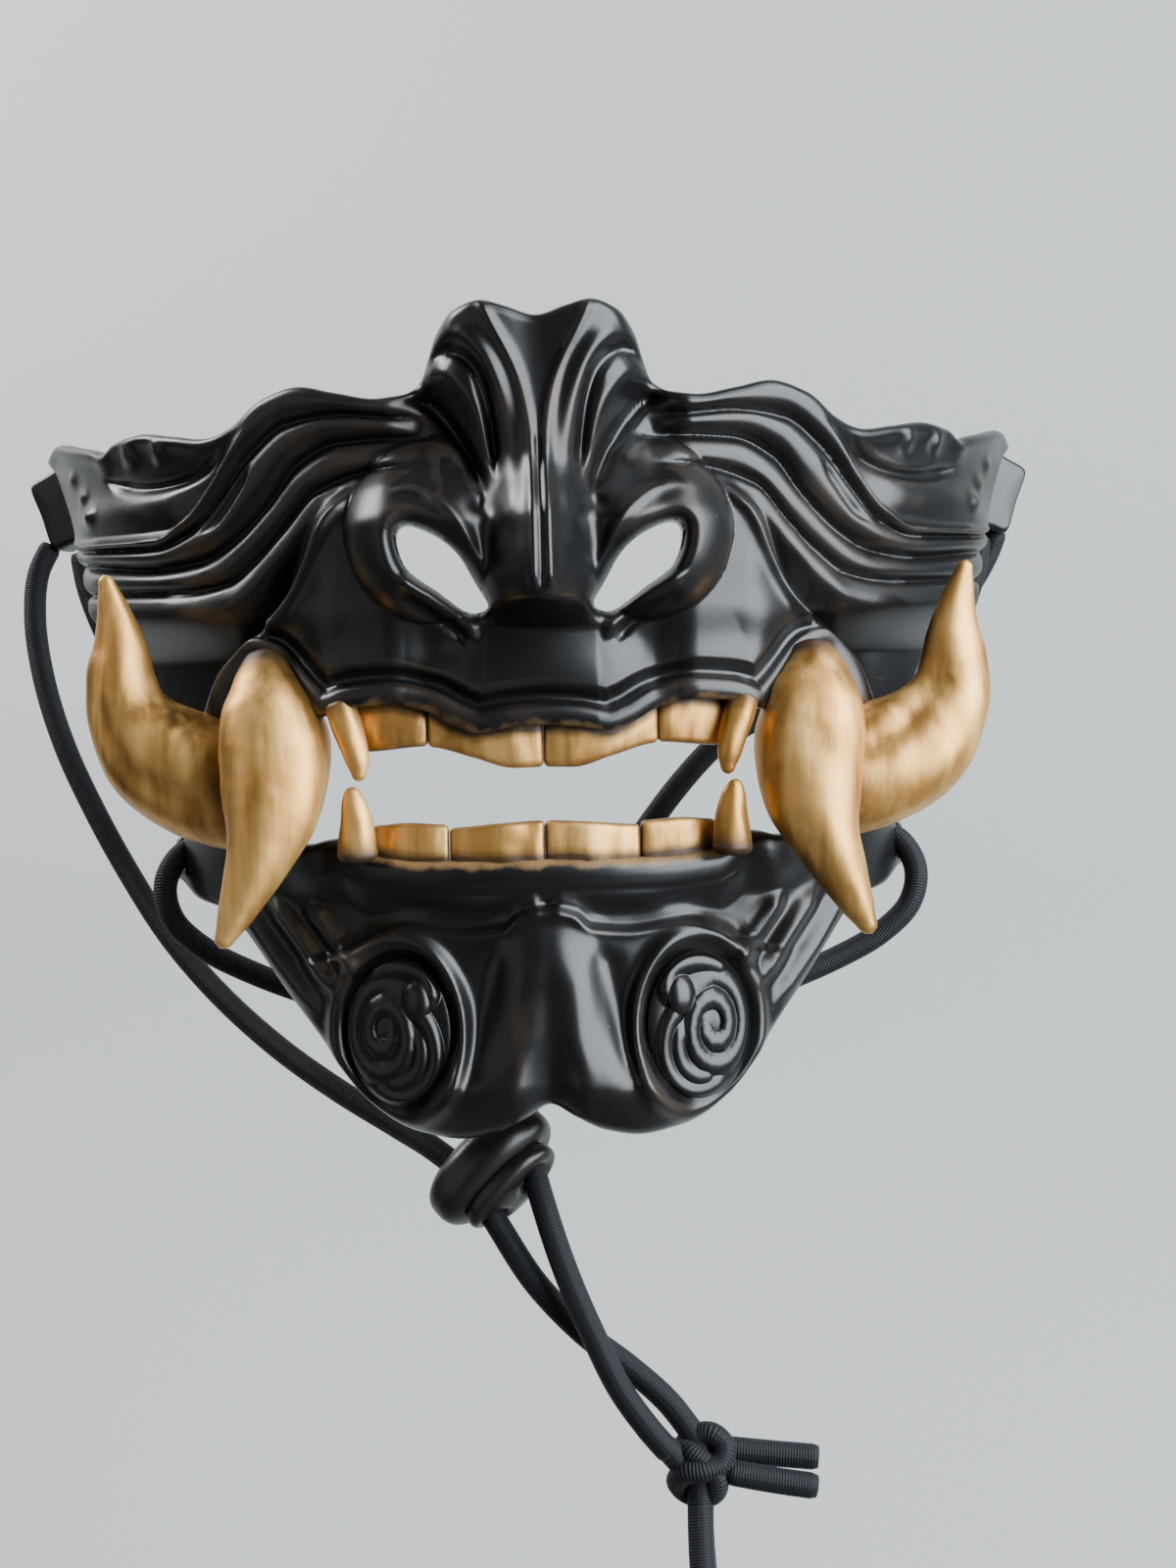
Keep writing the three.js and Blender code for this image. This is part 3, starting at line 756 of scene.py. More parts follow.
        self.dots = [
            Dot(10, 47.4, 1.7, -1.2), Dot(17, 23.5, 4.0, -1.0), Dot(67.2, 62.2, 1.2, 1.1, 1.6),
            Dot(73.6, 62.8, 1.2, 1.1, 1.6), Dot(88.4, 61.6, 1.0, 0.7, 1.6), Dot(85.2, 57.4, 1.0, 0.8, 1.5),
            Dot(82.4, 53.2, 1.1, 1.0, 1.6)]

    def place(self, across: Array, up: Array) -> tuple[Array, Array]:
        """The (x, z) of a point of the sheet.

        Args:
            across: how far across the sheet, from -1 to 1.
            up: how far up the sheet, from 0 to 1.

        Returns:
            The positions across and the heights.
        """
        low_z, high_z = self.rear.at[0], self.rear.at[-1]
        reach = np.arcsin(self.rear(low_z + (high_z - low_z) * up) / self.half_width)
        low_x, high_x = (self.half_width * np.sin(np.abs(across) * math.asin(end / self.half_width))
                         for end in self.rear.value[[0, -1]])
        low, high = self.bottom(low_x), self.top(high_x)
        return self.half_width * np.sin(across * reach), low + (high - low) * up

    def edge_distance(self, x: Array, z: Array) -> Array:
        """The distance to the top edge or the rear end.

        Args:
            x: positions across the face.
            z: heights.

        Returns:
            The distances.
        """
        side = np.abs(x)
        top = distance_to_line(side, z, self.top.drawn(120))[0]
        rear = distance_to_line(side, z, self.rear.drawn(30)[:, ::-1])[0]
        return np.minimum(top, rear * self.rear_share)

    def lip_distance(self, side: Array, z: Array) -> Array:
        """The distance to the bottom edge."""
        return distance_to_line(side, z, self.bottom.drawn(110))[0]

    def relief(self, x: Array, z: Array) -> Array:
        """Nose, muzzle, cheeks, lip and all the folds over them.

        Args:
            x: positions across the face.
            z: heights.

        Returns:
            The height at each point.
        """
        side = np.abs(x)
        boundary = self.muzzle_side(z)
        muzzle = self.muzzle_rise * (1 - smooth(boundary - 0.5, boundary + 3.2, side))
        muzzle = muzzle * (1 - smooth(44, 56, z))
        rise = muzzle + self.nose(x, z) + self.cheek(side, z) + self.lip(side, z)
        for fold in self.folds:
            rise = rise + fold.relief(side, z)
        for dot in self.dots:
            rise = rise + dot.relief(side, z)
        return rise + self.unevenness * waves(x, z, 3, 17) - self.nostril_curl(side, z)

    def nose(self, x: Array, z: Array) -> Array:
        """The ridge of the nose, its wings, the valley at its top and the flat panel below it.

        Args:
            x: positions across the face.
            z: heights.

        Returns:
            The height at each point.
        """
        across = np.abs(x) / self.nose_width(z)
        ridge = self.nose_rise(z) * np.exp(-(across ** (2 + 2.5 * smooth(55, 72, z))))
        wing_x = (np.abs(x) - self.wing_center[0]) / self.wing_size[0]
        wing_z = (z - self.wing_center[1]) / self.wing_size[1]
        wing = self.wing_rise * np.maximum(0, 1 - wing_x ** 2 - wing_z ** 2) ** 0.55
        valley = self.valley_depth * bell(x, 6.0) * smooth(60, 76, z)
        panel = -self.panel_slope * np.clip(np.abs(x) - 9.3, 0, 14) * (1 - smooth(23, 31, z))
        return soft_max(ridge, wing, self.wing_fillet) - valley + panel

    def cheek(self, side: Array, z: Array) -> Array:
        """The flowing bands, the panel behind them and the hollow below them.

        Args:
            side: distances from the middle of the face.
            z: heights.

        Returns:
            The height at each point.
        """
        inside = smooth(19, 27, side)
        heights = [line(side) for _, line in self.bands]
        flat = 1 - 0.7 * smooth(80, 90, side)
        rises = [rise * flat for rise, _ in self.bands]
        shelf = 1.0 + 1.8 * bell(z - self.top(side), 3.0)
        above = np.clip((z - heights[0]) / 2.6, 0, 1)
        value = rises[0] + (shelf - rises[0]) * (1 - (1 - above) ** 2.2) * smooth(48, 56, side)
        for k in range(len(heights) - 1):
            upper, lower = heights[k], heights[k + 1]
            s = np.clip((upper - z) / np.maximum(upper - lower, 0.2), 0, 1)
            falling = self.bands[k][0] > self.bands[k + 1][0]
            shape = s ** self.band_steepness if falling else 1 - (1 - s) ** self.band_steepness
            value = np.where(z < upper, rises[k] + (rises[k + 1] - rises[k]) * shape, value)
        drop = heights[-1] - z
        swell = 1.5 * (1 - (1 - np.clip(drop / 1.6, 0, 1)) ** 2) + 0.8 * bell(drop - 3.6, 2.4)
        below = rises[-1] + swell - 5.0 * smooth(4.4, 13, drop) * smooth(34, 46, side)
        panel = 1.4 * bell(z - 52, 4.0) * smooth(58, 66, side) * (1 - smooth(82, 90, side))
        return inside * (np.where(drop > 0, below, value) + panel)

    def lip(self, side: Array, z: Array) -> Array:
        """The rolled rim of the upper lip and the sharp step above it.

        Args:
            side: distances from the middle of the face.
            z: heights.

        Returns:
            The height at each point.
        """
        away = self.lip_distance(side, z)
        roll = (1.5 - 0.7 * smooth(40, 52, side)) * np.sqrt(np.clip(1 - ((away - 1.9) / 2.1) ** 2, 0, 1))
        channel = -1.1 * bell(away - 4.9, 1.1)
        shoulder = 0.9 * smooth(5.8, 7.2, away) * (1 - smooth(8, 16, away))
        return (1 - smooth(57, 62, side)) * roll + (1 - smooth(46, 56, side)) * (channel + shoulder)

    def gilt(self, x: Array, z: Array) -> Array:
        """How much gold dust has settled on the lip's edge."""
        side = np.abs(x)
        return 0.45 * (1 - smooth(0.2, 1.8, self.lip_distance(side, z))) * (1 - smooth(38, 56, side))

    def opening_distance(self, x: Array, z: Array) -> Array:
        """How far a point of a tooth is from the lip's edge."""
        return np.abs(z - self.bottom(np.abs(x)))

    def nostril_curl(self, side: Array, z: Array) -> Array:
        """How far the skin turns in at the edge of a nostril.

        Args:
            side: distances from the middle of the face.
            z: heights.

        Returns:
            The depth at each point.
        """
        near = (side > 4) & (side < 30) & (z > 24) & (z < 50)
        curl = np.zeros(side.shape)
        if near.any():
            closed = np.vstack([self.nostril, self.nostril[:1]])
            away = distance_to_line(side[near], z[near], closed)[0]
            away = np.where(inside_outline(side[near], z[near], self.nostril), 0, away)
            turn = np.clip(1 - away / self.nostril_roll, 0, 1)
            curl[near] = 4.0 * (1 - np.sqrt(1 - 0.98 * turn * turn)) + 0.8 * turn
        return curl

    def build(self) -> Piece:
        """Makes the shell and opens its nostrils.

        Returns:
            The piece's object.
        """
        piece = self.parts().build(self.name, Slot.LACQUER, [self.name])
        for side in Side:
            count = len(self.nostril)
            rings = [np.stack([self.nostril[:, 0], np.full(count, y), self.nostril[:, 1]], 1)
                     for y in (self.cut_from, self.cut_to)]
            cut_away(piece, side.mirror(np.vstack(rings)), capped_faces(2, count))
        return piece


def cut_away(piece: Piece, points: Array, faces: list[Face]) -> None:
    """Cuts a closed shape out of a piece.

    Args:
        piece: the piece to cut.
        points: the closed shape's points, in the mask's space.
        faces: its faces.
    """
    mesh = bpy.data.meshes.new("cutter")
    mesh.from_pydata(to_frame(points).tolist(), [], faces)
    tool = add_object("cutter", mesh)
    face_outward(tool)
    modifier = piece.modifiers.new("opening", "BOOLEAN")
    modifier.object = tool
    modifier.operation = "DIFFERENCE"
    modifier.solver = "MANIFOLD"
    graph = bpy.context.evaluated_depsgraph_get()
    opened = bpy.data.meshes.new_from_object(piece.evaluated_get(graph))
    piece.modifiers.clear()
    piece.data = opened
    bpy.data.objects.remove(tool)


@dataclass
class LowerJaw(MouldedShell):
    """The lower lip, chin and side ears."""

    name: str = "lower_jaw"
    half_width: float = 76.0
    depth: float = 78.0
    columns: int = 84
    rows: int = 34
    crowd: float = 0.12
    edge_roll: float = 1.8
    rear: float = 71.0
    ear_x: float = 68.0
    ear_reach: float = 10.0
    ear_bottom: float = -24.0
    ear_top: float = -4.0
    lip_rise: float = 3.4
    crease_depth: float = 0.3
    chin_rise: float = 3.2
    bulge_rise: float = 3.8
    notch_depth: float = 2.6
    lobe_rise: float = 2.6
    tuck_depth: float = 5.5
    unevenness: float = 0.14
    bore_clearance: float = 0.5
    bore_sides: int = 20

    def __post_init__(self) -> None:
        """Prepares the edges and the lines that the relief follows."""
        self.top = Profile([
            (0, -12.8), (18, -12.8), (30, -11.6), (33.4, -9.8), (35.4, -8.6), (37.4, -8.8), (41, -9.6),
            (50, -9), (60, -8), (66, -7.5), (71, -8.5)])
        self.bottom = Profile([
            (0, -55), (4, -57), (9.6, -59.8), (16, -61), (22.6, -60), (27, -58), (31.5, -54.5),
            (36.5, -48.4), (42, -42), (47, -36.4), (52, -29.8), (56, -25), (60, -21.8), (66, -20.2),
            (71, -17)])
        self.chin_width = Profile([(-60, 24), (-52, 18), (-44, 13.2), (-36, 10.6), (-26, 8.4), (-20, 7.4)])
        self.moustache = Profile([
            (0, -20.7), (4.5, -21.6), (7.8, -24), (14, -24.7), (24, -23.5), (29, -24.8), (33, -27),
            (44, -30), (60, -18)])
        self.folds = [
            Fold([(0, -20.4), (4.5, -21.3), (7.8, -23.8), (14, -24.5), (24, -23.2), (29, -24.6),
                  (33.6, -27.4), (37, -26.6)],
                 1.5, 1.0, 0.06),
            Fold([(16, -20.2), (24, -19.8), (33, -17.4)], 1.6, -0.5, 0.4),
            Fold([(32, -33), (37, -27), (43, -19)], 1.7, 1.7, 0.25),
            Fold([(36, -37), (42, -29), (50, -18)], 1.9, 1.8, 0.25),
            Fold([(39, -41), (46, -33), (57, -18)], 1.9, 1.5, 0.25),
            Fold([(34, -35), (39.6, -28), (46.6, -18.6)], 1.2, -0.5, 0.45),
            Fold([(37.6, -39), (44, -31), (53.6, -18)], 1.2, -0.5, 0.45),
            Fold([(8.6, -26), (9.8, -32), (11.2, -38.6), (12.8, -45), (15.6, -52.4)], 2.4, -1.2, 0.2),
        ]

    def place(self, across: Array, up: Array) -> tuple[Array, Array]:
        """The (x, z) of a point of the sheet.

        Args:
            across: how far across the sheet, from -1 to 1.
            up: how far up the sheet, from 0 to 1.

        Returns:
            The positions across and the heights.
        """
        x = self.half_width * np.sin(across * math.asin(self.rear / self.half_width))
        low = self.bottom(np.abs(x))
        return x, low + (self.top(np.abs(x)) - low) * up

    def edge_distance(self, x: Array, z: Array) -> Array:
        """The distance to the nearest edge of the jaw.

        Args:
            x: positions across the face.
            z: heights.

        Returns:
            The distances.
        """
        side = np.abs(x)
        low, high = (distance_to_line(side, z, edge.drawn(90))[0] for edge in (self.bottom, self.top))
        return np.minimum(np.minimum(low, high), (self.rear + 0.2 - side) * 2)

    def relief(self, x: Array, z: Array) -> Array:
        """Lip, wrinkles, chin, lobes and the raised borders of the two ovals.

        Args:
            x: positions across the face.
            z: heights.

        Returns:
            The height at each point.
        """
        side = np.abs(x)
        below = self.top(side) - z
        lip = self.lip_rise * (1 - smooth(4.6, 12, below)) + 0.4 * bell(below - 2.4, 1.9)
        lip = lip * (1 - smooth(38, 50, side))
        crease = -self.crease_depth * bell(below - 5.4, 0.7) * (1 - smooth(30, 44, side))
        chin = self.chin_rise * smooth(-0.6, 1.6, self.moustache(side) - z) * (1 - smooth(30, 48, side))
        bulge = self.bulge_rise * (1 - smooth(0.1, 1.4, side / self.chin_width(z))) * smooth(19, 34, -z)
        groove = (0.5 * bell(side - 5.4, 2.6) - 0.5 * bell(x, 2.8)) * smooth(26, 38, -z)
        notch = self.notch_depth * bell(x, 4.6) * smooth(42, 55, -z)
        lobe = self.lobe_rise * bell(np.hypot((side - 16) / 1.2, z + 54), 8.5)
        tuck = self.tuck_depth * smooth(51, 63, -z)
        rise = lip + crease + chin + bulge + groove - notch + lobe - tuck + self.oval_border(side, z)
        for fold in self.folds:
            rise = rise + fold.relief(side, z)
        return rise + self.unevenness * waves(x, z, 11, 14)

    def oval_border(self, side: Array, z: Array) -> Array:
        """The raised border and the sunk bed of an oval.

        Args:
            side: distances from the middle of the face.
            z: heights.

        Returns:
            The height at each point.
        """
        across = (side - Roundel.x) / Roundel.half_width
        ring = np.hypot(across, (z - Roundel.z) / Roundel.half_height)
        height = 1.5 + 1.1 * smooth(-0.1, 1.1, -across)
        return height * bell(ring - 1.24, 0.15) - 0.9 * (1 - smooth(0.98, 1.13, ring))

    def opening_distance(self, x: Array, z: Array) -> Array:
        """How far a point of a tooth is from the lip's edge."""
        return np.abs(z - self.top(np.abs(x)))

    def gilt(self, x: Array, z: Array) -> Array:
        """How much gold dust has settled on the lip beside the teeth."""
        side = np.abs(x)
        return (1 - smooth(0.3, 2.6, self.top(side) - z)) * (1 - smooth(33, 39, side))

    def build(self, line: Array) -> Piece:
        """Makes the jaw and bores its ears for the cord that runs along the line.

        Args:
            line: the cord's centre line.

        Returns:
            The piece's object.
        """
        piece = self.parts().build(self.name, Slot.LACQUER, [self.name])
        for side in Side:
            beside = np.abs(line[:, 0] - side.value * self.ear_x) < self.ear_reach
            near = line[beside & (line[:, 2] > self.ear_bottom) & (line[:, 2] < self.ear_top)]
            radii = np.full(len(near), CORD_DIAMETER / 2 + self.bore_clearance)
            points, _, _ = sweep(near, radii, self.bore_sides)
            cut_away(piece, points, capped_faces(len(near), self.bore_sides))
        return piece


# ------------------------------------------------------------------ ornaments, lugs, teeth


# Curls of cloud on a boss: half width, rise, and the line in units of the boss, outward and up.
CLOUD_CURLS = [
    (0.16, 1.3, [(-0.38, 0.40), (-0.62, 0.52), (-0.52, 0.78), (-0.12, 0.9), (0.35, 0.85), (0.62, 0.72)]),
    (0.15, 1.2, [(-0.02, 0.55), (0.3, 0.68), (0.68, 0.5), (0.86, 0.1), (0.78, -0.3), (0.5, -0.54),
                 (0.14, -0.52), (-0.1, -0.3), (-0.14, 0.02), (0.02, 0.28), (0.3, 0.36), (0.54, 0.18),
                 (0.56, -0.1), (0.36, -0.26), (0.16, -0.16), (0.16, 0.04), (0.32, 0.06)]),
    (0.14, 1.1, [(-0.1, 0.42), (-0.4, 0.24), (-0.64, -0.04), (-0.7, -0.38), (-0.54, -0.7), (-0.2, -0.9),
                 (0.2, -0.88), (0.55, -0.68)]),
    (0.13, 0.9, [(-0.3, 0.06), (-0.42, -0.22), (-0.34, -0.52), (-0.06, -0.7), (0.3, -0.7)]),
]


@dataclass
class Roundel:
    """An oval boss on the chin with a curl of cloud in relief."""

    side: Side
    jaw: LowerJaw
    x: float = 26.0
    z: float = -42.2
    half_width: float = 9.0
    half_height: float = 12.8
    rings: int = 130
    spokes: int = 220
    dome_rise: float = 1.5
    head: tuple[float, float] = (-0.36, 0.42)
    head_radius: float = 0.29
    head_rise: float = 1.8
    curl_spread: float = 1.3
    bedding: float = 0.1
    foot: float = 1.0
    rim_samples: int = 24
    rim_reach: float = 1.04

    def height(self, u: Array, v: Array) -> Array:
        """The boss's relief at a point of the unit disc: a dome, a comma head and curls of cloud.

        Args:
            u: positions outward, in units of the boss.
            v: heights, in units of the boss.

        Returns:
            The height at each point.
        """
        radius = np.hypot(u, v)
        dome = self.dome_rise * np.sqrt(np.clip(1 - radius ** 2 * 0.97, 0, 1))
        from_head = np.hypot(u - self.head[0], v - self.head[1]) / self.head_radius
        curls = self.head_rise * np.sqrt(np.clip(1 - from_head ** 2, 0, 1))
        for width, rise, points in CLOUD_CURLS:
            away, along = distance_to_line(u, v, smooth_line(points, 32))
            taper = np.minimum(smooth(-0.1, 0.2, along), smooth(-0.05, 0.12, 1 - along))
            curl = rise * taper * np.clip(1 - (away / (width * self.curl_spread)) ** 2, 0, 1)
            curls = np.maximum(curls, curl)
        return dome + curls * (1 - smooth(0.93, 1.0, radius)) - self.bedding

    def build(self) -> Piece:
        """Makes the boss on the jaw's skin.

        Returns:
            The piece's object.
        """
        turn = np.linspace(0, math.tau, self.spokes, endpoint=False)
        radius, angle = np.meshgrid(np.linspace(0, 1, self.rings), turn, indexing="ij")
        u, v = radius * np.cos(angle), radius * np.sin(angle)
        x, z = self.x + self.half_width * u, self.z + self.half_height * v
        bed = self.smooth_bed(x, z)
        height = self.height(u, v)
        skin = self.jaw.lift(x, z, bed + height)
        back = self.jaw.lift(x, z, bed - self.foot)
        lift = height - self.height(u * 0.95, v * 0.95)
        parts = MeshParts()
        faces = grid_faces(self.rings, self.spokes, wrap=True)
        parts.add(self.side.mirror(skin), faces, wear=np.clip(lift, -1, 1))
        start = parts.add(self.side.mirror(back), faces, wear=np.zeros(x.size))
        outer = (self.rings - 1) * self.spokes
        for i in range(self.spokes):
            following = (i + 1) % self.spokes
            parts.faces.append((outer + i, outer + following, start + outer + following, start + outer + i))
        name = f"roundel_{self.side.word}"
        piece = parts.build(name, Slot.LACQUER, [name])
        merge_points(piece)
        return piece

    def smooth_bed(self, x: Array, z: Array) -> Array:
        """The height of the bed under the boss, from the jaw at its rim.

        Args:
            x: positions across the face.
            z: heights.

        Returns:
            The height at each point.
        """
        rim = np.linspace(0, math.tau, self.rim_samples, endpoint=False)
        rim_x = self.x + self.half_width * self.rim_reach * np.cos(rim)
        rim_z = self.z + self.half_height * self.rim_reach * np.sin(rim)
        around = self.jaw.relief(rim_x, rim_z)
        basis = np.stack([np.ones(self.rim_samples), np.cos(rim), np.sin(rim)], 1)
        level, tilt_x, tilt_z = np.linalg.lstsq(basis, around, rcond=None)[0]
        return level + tilt_x * (x - self.x) / self.half_width + tilt_z * (z - self.z) / self.half_height


@dataclass
class Horn:
    """A gilded fang or tusk: a tapering, slightly facetted sweep from a rounded root to a blunt point."""

    name: str
    side: Side
    path: Points
    radii: Sequence[float]
    # The share of the length, from the root, that is darkened with painted shade.
    root: float = 0.3
    flatten: float = 0.9
    crease: float = 0.0
    seed: int = 1
    rings: int = 110
    sides: int = 56
    tip: float = 0.9

    def build(self) -> Piece:
        """Makes the horn.

        Returns:
            The piece's object.
        """
        line = smooth_line(self.side.mirror(self.path), self.rings)
        share = np.linspace(0, 1, self.rings)
        stations = [(i / len(self.radii), radius) for i, radius in enumerate(self.radii)] + [(1.0, self.tip)]
        radii = Profile(stations)(share)
        length = line_length(line)
        root_cap = self.cap(share * length / (0.5 * self.radii[0]))
        tip_cap = self.cap((1 - share) * length / self.tip)

        def shape(along: Array, angle: Array) -> Array:
            """The factor on the radius: facets, dents and the crease.

            Args:
                along: how far along the horn each point is, from 0 to 1.
                angle: its angle round the horn.

            Returns:
                The factor at each point.
            """
            facets = 0.022 * np.sin(3 * angle + 5 * along + self.seed) + 0.016 * np.sin(5 * angle - 9 * along)
            dents = 0.03 * waves(along * length, angle * 5, self.seed, 13)
            dents = dents + 0.012 * waves(along * length, angle * 5, 9, 5)
            from_crease = np.angle(np.exp(1j * (angle - 1.9 - 0.5 * along)))
            return 1 + facets + dents - self.crease * bell(from_crease, 0.28) * bell(along - 0.3, 0.34)

        radii = radii * root_cap * tip_cap
        rings, along, _ = sweep(line, radii, self.sides, self.flatten, FORWARD, shape)
        parts = MeshParts()
        # Painted shade, darkest at the root where the horn goes into the shell.
        painted_shade = 1 - smooth(0.0, self.root, along)
        parts.add(rings, capped_faces(self.rings, self.sides), root=painted_shade)
        return parts.build(self.name, Slot.GOLD, [self.name])

    @staticmethod
    def cap(reach: Array) -> Array:
        """The factor that rounds an end off, from how far in a ring is, in units of the end's radius."""
        return np.sqrt(np.clip(1 - np.clip(1 - reach, 0, 1) ** 2, 0.0004, 1))


@dataclass
class Tooth:
    """A gilded tooth: a soft-edged block behind the lip, its front following an outline on the face."""

    name: str
    side: Side
    left: Points
    right: Points
    top: Points
    bottom: Points
    shell: MouldedShell
    front: float
    thickness: float = 4.6
    bulge: float = 1.1
    root_up: bool = True
    crease_share: float = -1.0
    crease_rise: float = 0.5
    rounding: float = 0.9
    cells: int = 24

    def build(self) -> Piece:
        """Makes the tooth.

        Returns:
            The piece's object.
        """
        left, right = Profile(self.left), Profile(self.right)
        top, bottom = Profile(self.top), Profile(self.bottom)
        middle = (self.left[0][1] + self.right[0][1]) / 2
        width = self.right[0][1] - self.left[0][1]
        height = float(top(middle) - bottom(middle))
        cube, faces = rounded_cube(self.cells, np.array([width, self.thickness, height]) / 2, self.rounding)
        u, w, v = cube[:, 0], cube[:, 1], cube[:, 2]
        share_up, share_across = (v + 1) / 2, (u + 1) / 2
        x = left(share_up) * (1 - share_across) + right(share_up) * share_across
        z = bottom(x) * (1 - share_up) + top(x) * share_up
        arch = self.shell.depth * (1 - np.sqrt(1 - (x / self.shell.half_width) ** 2))
        swell = self.bulge * (1 - 0.6 * u ** 2 - 0.5 * (v - 0.1) ** 2)
        if self.crease_share >= 0:
            from_crease = np.abs(share_across - self.crease_share)
            swell = swell + self.crease_rise * np.maximum(0, 1 - from_crease * 4.5)
        facet = 0.22 * waves(x * 2.0, z * 1.2, int(abs(x.mean()) * 7) % 50 + self.side.value, 6)
        y = self.front + arch + (w + 1) / 2 * self.thickness - (1 - w) / 2 * (swell + facet)
        points = self.side.mirror(np.stack([x, y, z], 1))
        # Painted shade: darker toward the root and along the lip's edge, where the tooth goes under the
        # shell; also darker round the tooth's edges.
        rooted = share_up if self.root_up else 1 - share_up
        edge = np.maximum(np.abs(u) ** 2, np.abs(v) ** 2)
        shadow = 1 - smooth(0.0, 2.6, self.shell.opening_distance(x, z))
        painted_shade = np.maximum(np.maximum(smooth(0.66, 0.95, rooted) * 0.7, shadow), 0.8 * smooth(0.8, 1.0, edge))
        parts = MeshParts()
        parts.add(points, faces, root=painted_shade)
        return parts.build(self.name, Slot.GOLD, [self.name])


def rounded_cube(cells: int, half: Array, rounding: float) -> tuple[Array, list[Face]]:
    """A cube from -1 to 1 whose edges are round once it is stretched to its real size.

    Args:
        cells: divisions of each side.
        half: half of the real size along each axis.
        rounding: the real radius of the edges.

    Returns:
        The points and the faces.
    """
    index: dict[tuple[int, int, int], int] = {}
    points: list[Triple] = []
    faces: list[Face] = []

    def corner(i: int, j: int, k: int) -> int:
        """The index of a grid corner's point.

        Args:
            i: its place along the first axis.
            j: its place along the second.
            k: its place along the third.

        Returns:
            The point's index.
        """
        if (i, j, k) not in index:
            index[(i, j, k)] = len(points)
            points.append(tuple(-1 + 2 * math.sin(n / cells * math.pi / 2) ** 2 for n in (i, j, k)))
        return index[(i, j, k)]

    for axis in range(3):
        for end in (0, cells):
            for a in range(cells):
                for b in range(cells):
                    ring = []
                    for da, db in ((0, 0), (1, 0), (1, 1), (0, 1)):
                        place = [a + da, b + db]
                        place.insert(axis, end)
                        ring.append(corner(*place))
                    faces.append(tuple(ring))
    cube = np.array(points)
    reach = rounding / half
    core = np.clip(cube, -1 + reach, 1 - reach)
    out = (cube - core) / reach
    length = np.linalg.norm(out, axis=1, keepdims=True)
    return core + reach * out / np.maximum(length, 1.0), faces


@dataclass
class EarLug:
    """The moulded lug that stands up beside each ear of the upper shell."""

    side: Side
    center: Triple = (98.6, 82.2, 60.2)
    outline: Points = ((-5.6, 7.6), (-4.8, 8.0), (-0.5, 6.1), (3.7, 4.2), (4.2, 3.4), (1.6, -3.0),
                       (-0.9, -9.4), (-1.9, -9.9), (-4.8, -9.1), (-7.4, -8.4), (-7.7, -7.6), (-6.7, 0.0))
    depth: float = 7.0
    rounding: float = 1.5
    turn: float = 0.42

    def build(self) -> Piece:
        """Makes the lug with round edges.

        Returns:
            The piece's object.
        """
        border = smooth_line(self.outline, 97, closed=True)[:-1]
        middle = border.mean(axis=0)
        size = np.abs(border - middle).max()
        rings = []
        quarter = math.pi / 2
        angles = np.linspace(0, quarter, 7)
        layers = [(-1, angle, 1.0) for angle in angles[::-1]] + [(1, angle, 1.0) for angle in angles]
        for end, angle, share in [(-1, quarter, 0.1), *layers, (1, quarter, 0.1)]:
            inset = 1 - self.rounding * (1 - math.cos(angle)) / size
            depth = end * (self.depth / 2 - self.rounding * (1 - math.sin(angle)))
            ring = middle + (border - middle) * inset * share
            dome = 0.5 * (1 - share) * end
            rings.append(np.stack([ring[:, 0], np.full(len(ring), depth + dome), ring[:, 1]], 1))
        points = np.vstack(rings)
        cosine, sine = math.cos(self.turn), math.sin(self.turn)
        x, y, z = points.T
        turned = np.stack([x * cosine - y * sine, x * sine + y * cosine, z], 1) + self.center
        parts = MeshParts()
        parts.add(self.side.mirror(turned), capped_faces(len(rings), len(border)))
        name = f"ear_lug_{self.side.word}"
        return parts.build(name, Slot.LACQUER, [name])


# ------------------------------------------------------------------ cord


@dataclass
class CordRun:
    """One stretch of the elastic cord along its route."""

    name: str
    route: Points
    far_end: str = "object"
    sides: int = 24
    ring_step: float = 1.0

    def line(self) -> Array:
        """The cord's centre line, in the mask's space."""
        rough = smooth_line(self.route, 400)
        return evenly(rough, max(12, int(line_length(rough) / self.ring_step)))

    def build(self, declared: bool = True, with_pieces: Sequence[Piece] = ()) -> Piece:
        """Makes the stretch.

        Args:
            declared: whether it is a free cord of its own, not a short end on another; it changes nothing
                that is built.
            with_pieces: separate pieces on it; not used.

        Returns:
            The cord's object.
        """
        line = self.line()
        parts = MeshParts()
        add_tube(parts, line, CORD_DIAMETER / 2, self.sides)
        piece = parts.build(self.name, Slot.ELASTIC, [self.name])
        if declared:
            path = to_frame(line)
            list(with_pieces)
        return piece


LEFT_ROUTE = [
    (-99.6, 81.4, 51.4), (-102, 80, 45.6), (-102.4, 77.6, 36), (-100.2, 75, 23), (-95.8, 72.4, 9.6),
    (-89.8, 70, -3.2), (-82.6, 67, -16), (-74, 62, -28.6), (-64, 56, -39.4), (-52, 48, -49.2),
    (-39.6, 38.4, -56.8), (-28, 29, -62.6), (-20.4, 22, -66.4), (-14.4, 17.4, -71), (-9.6, 12.8, -78.4),
    (-3.2, 9.2, -88), (5.2, 8.5, -97), (13, 7.5, -103), (19.4, 5.8, -108.6), (23.8, 4.6, -114.2)]
RIGHT_ROUTE = [
    (97.2, 81.6, 51.2), (95.4, 82.4, 46.4), (91.4, 83, 39.6), (84, 82, 31.6), (72, 77, 24.4),
    (58, 68, 18.6), (45, 57.6, 13), (34.8, 49.4, 7.4), (27.4, 44, 0.4), (20.4, 39.6, -8),
    (12.6, 35.6, -18.6), (5, 31.4, -31), (-0.6, 27, -43.6), (-4, 21, -56), (-3.6, 15.4, -66),
    (-1, 8.5, -76), (2.4, 4.5, -86), (6.6, 2.5, -96), (11, 1.6, -105.2), (15.6, 1.8, -112),
    (19.6, 2.6, -117)]
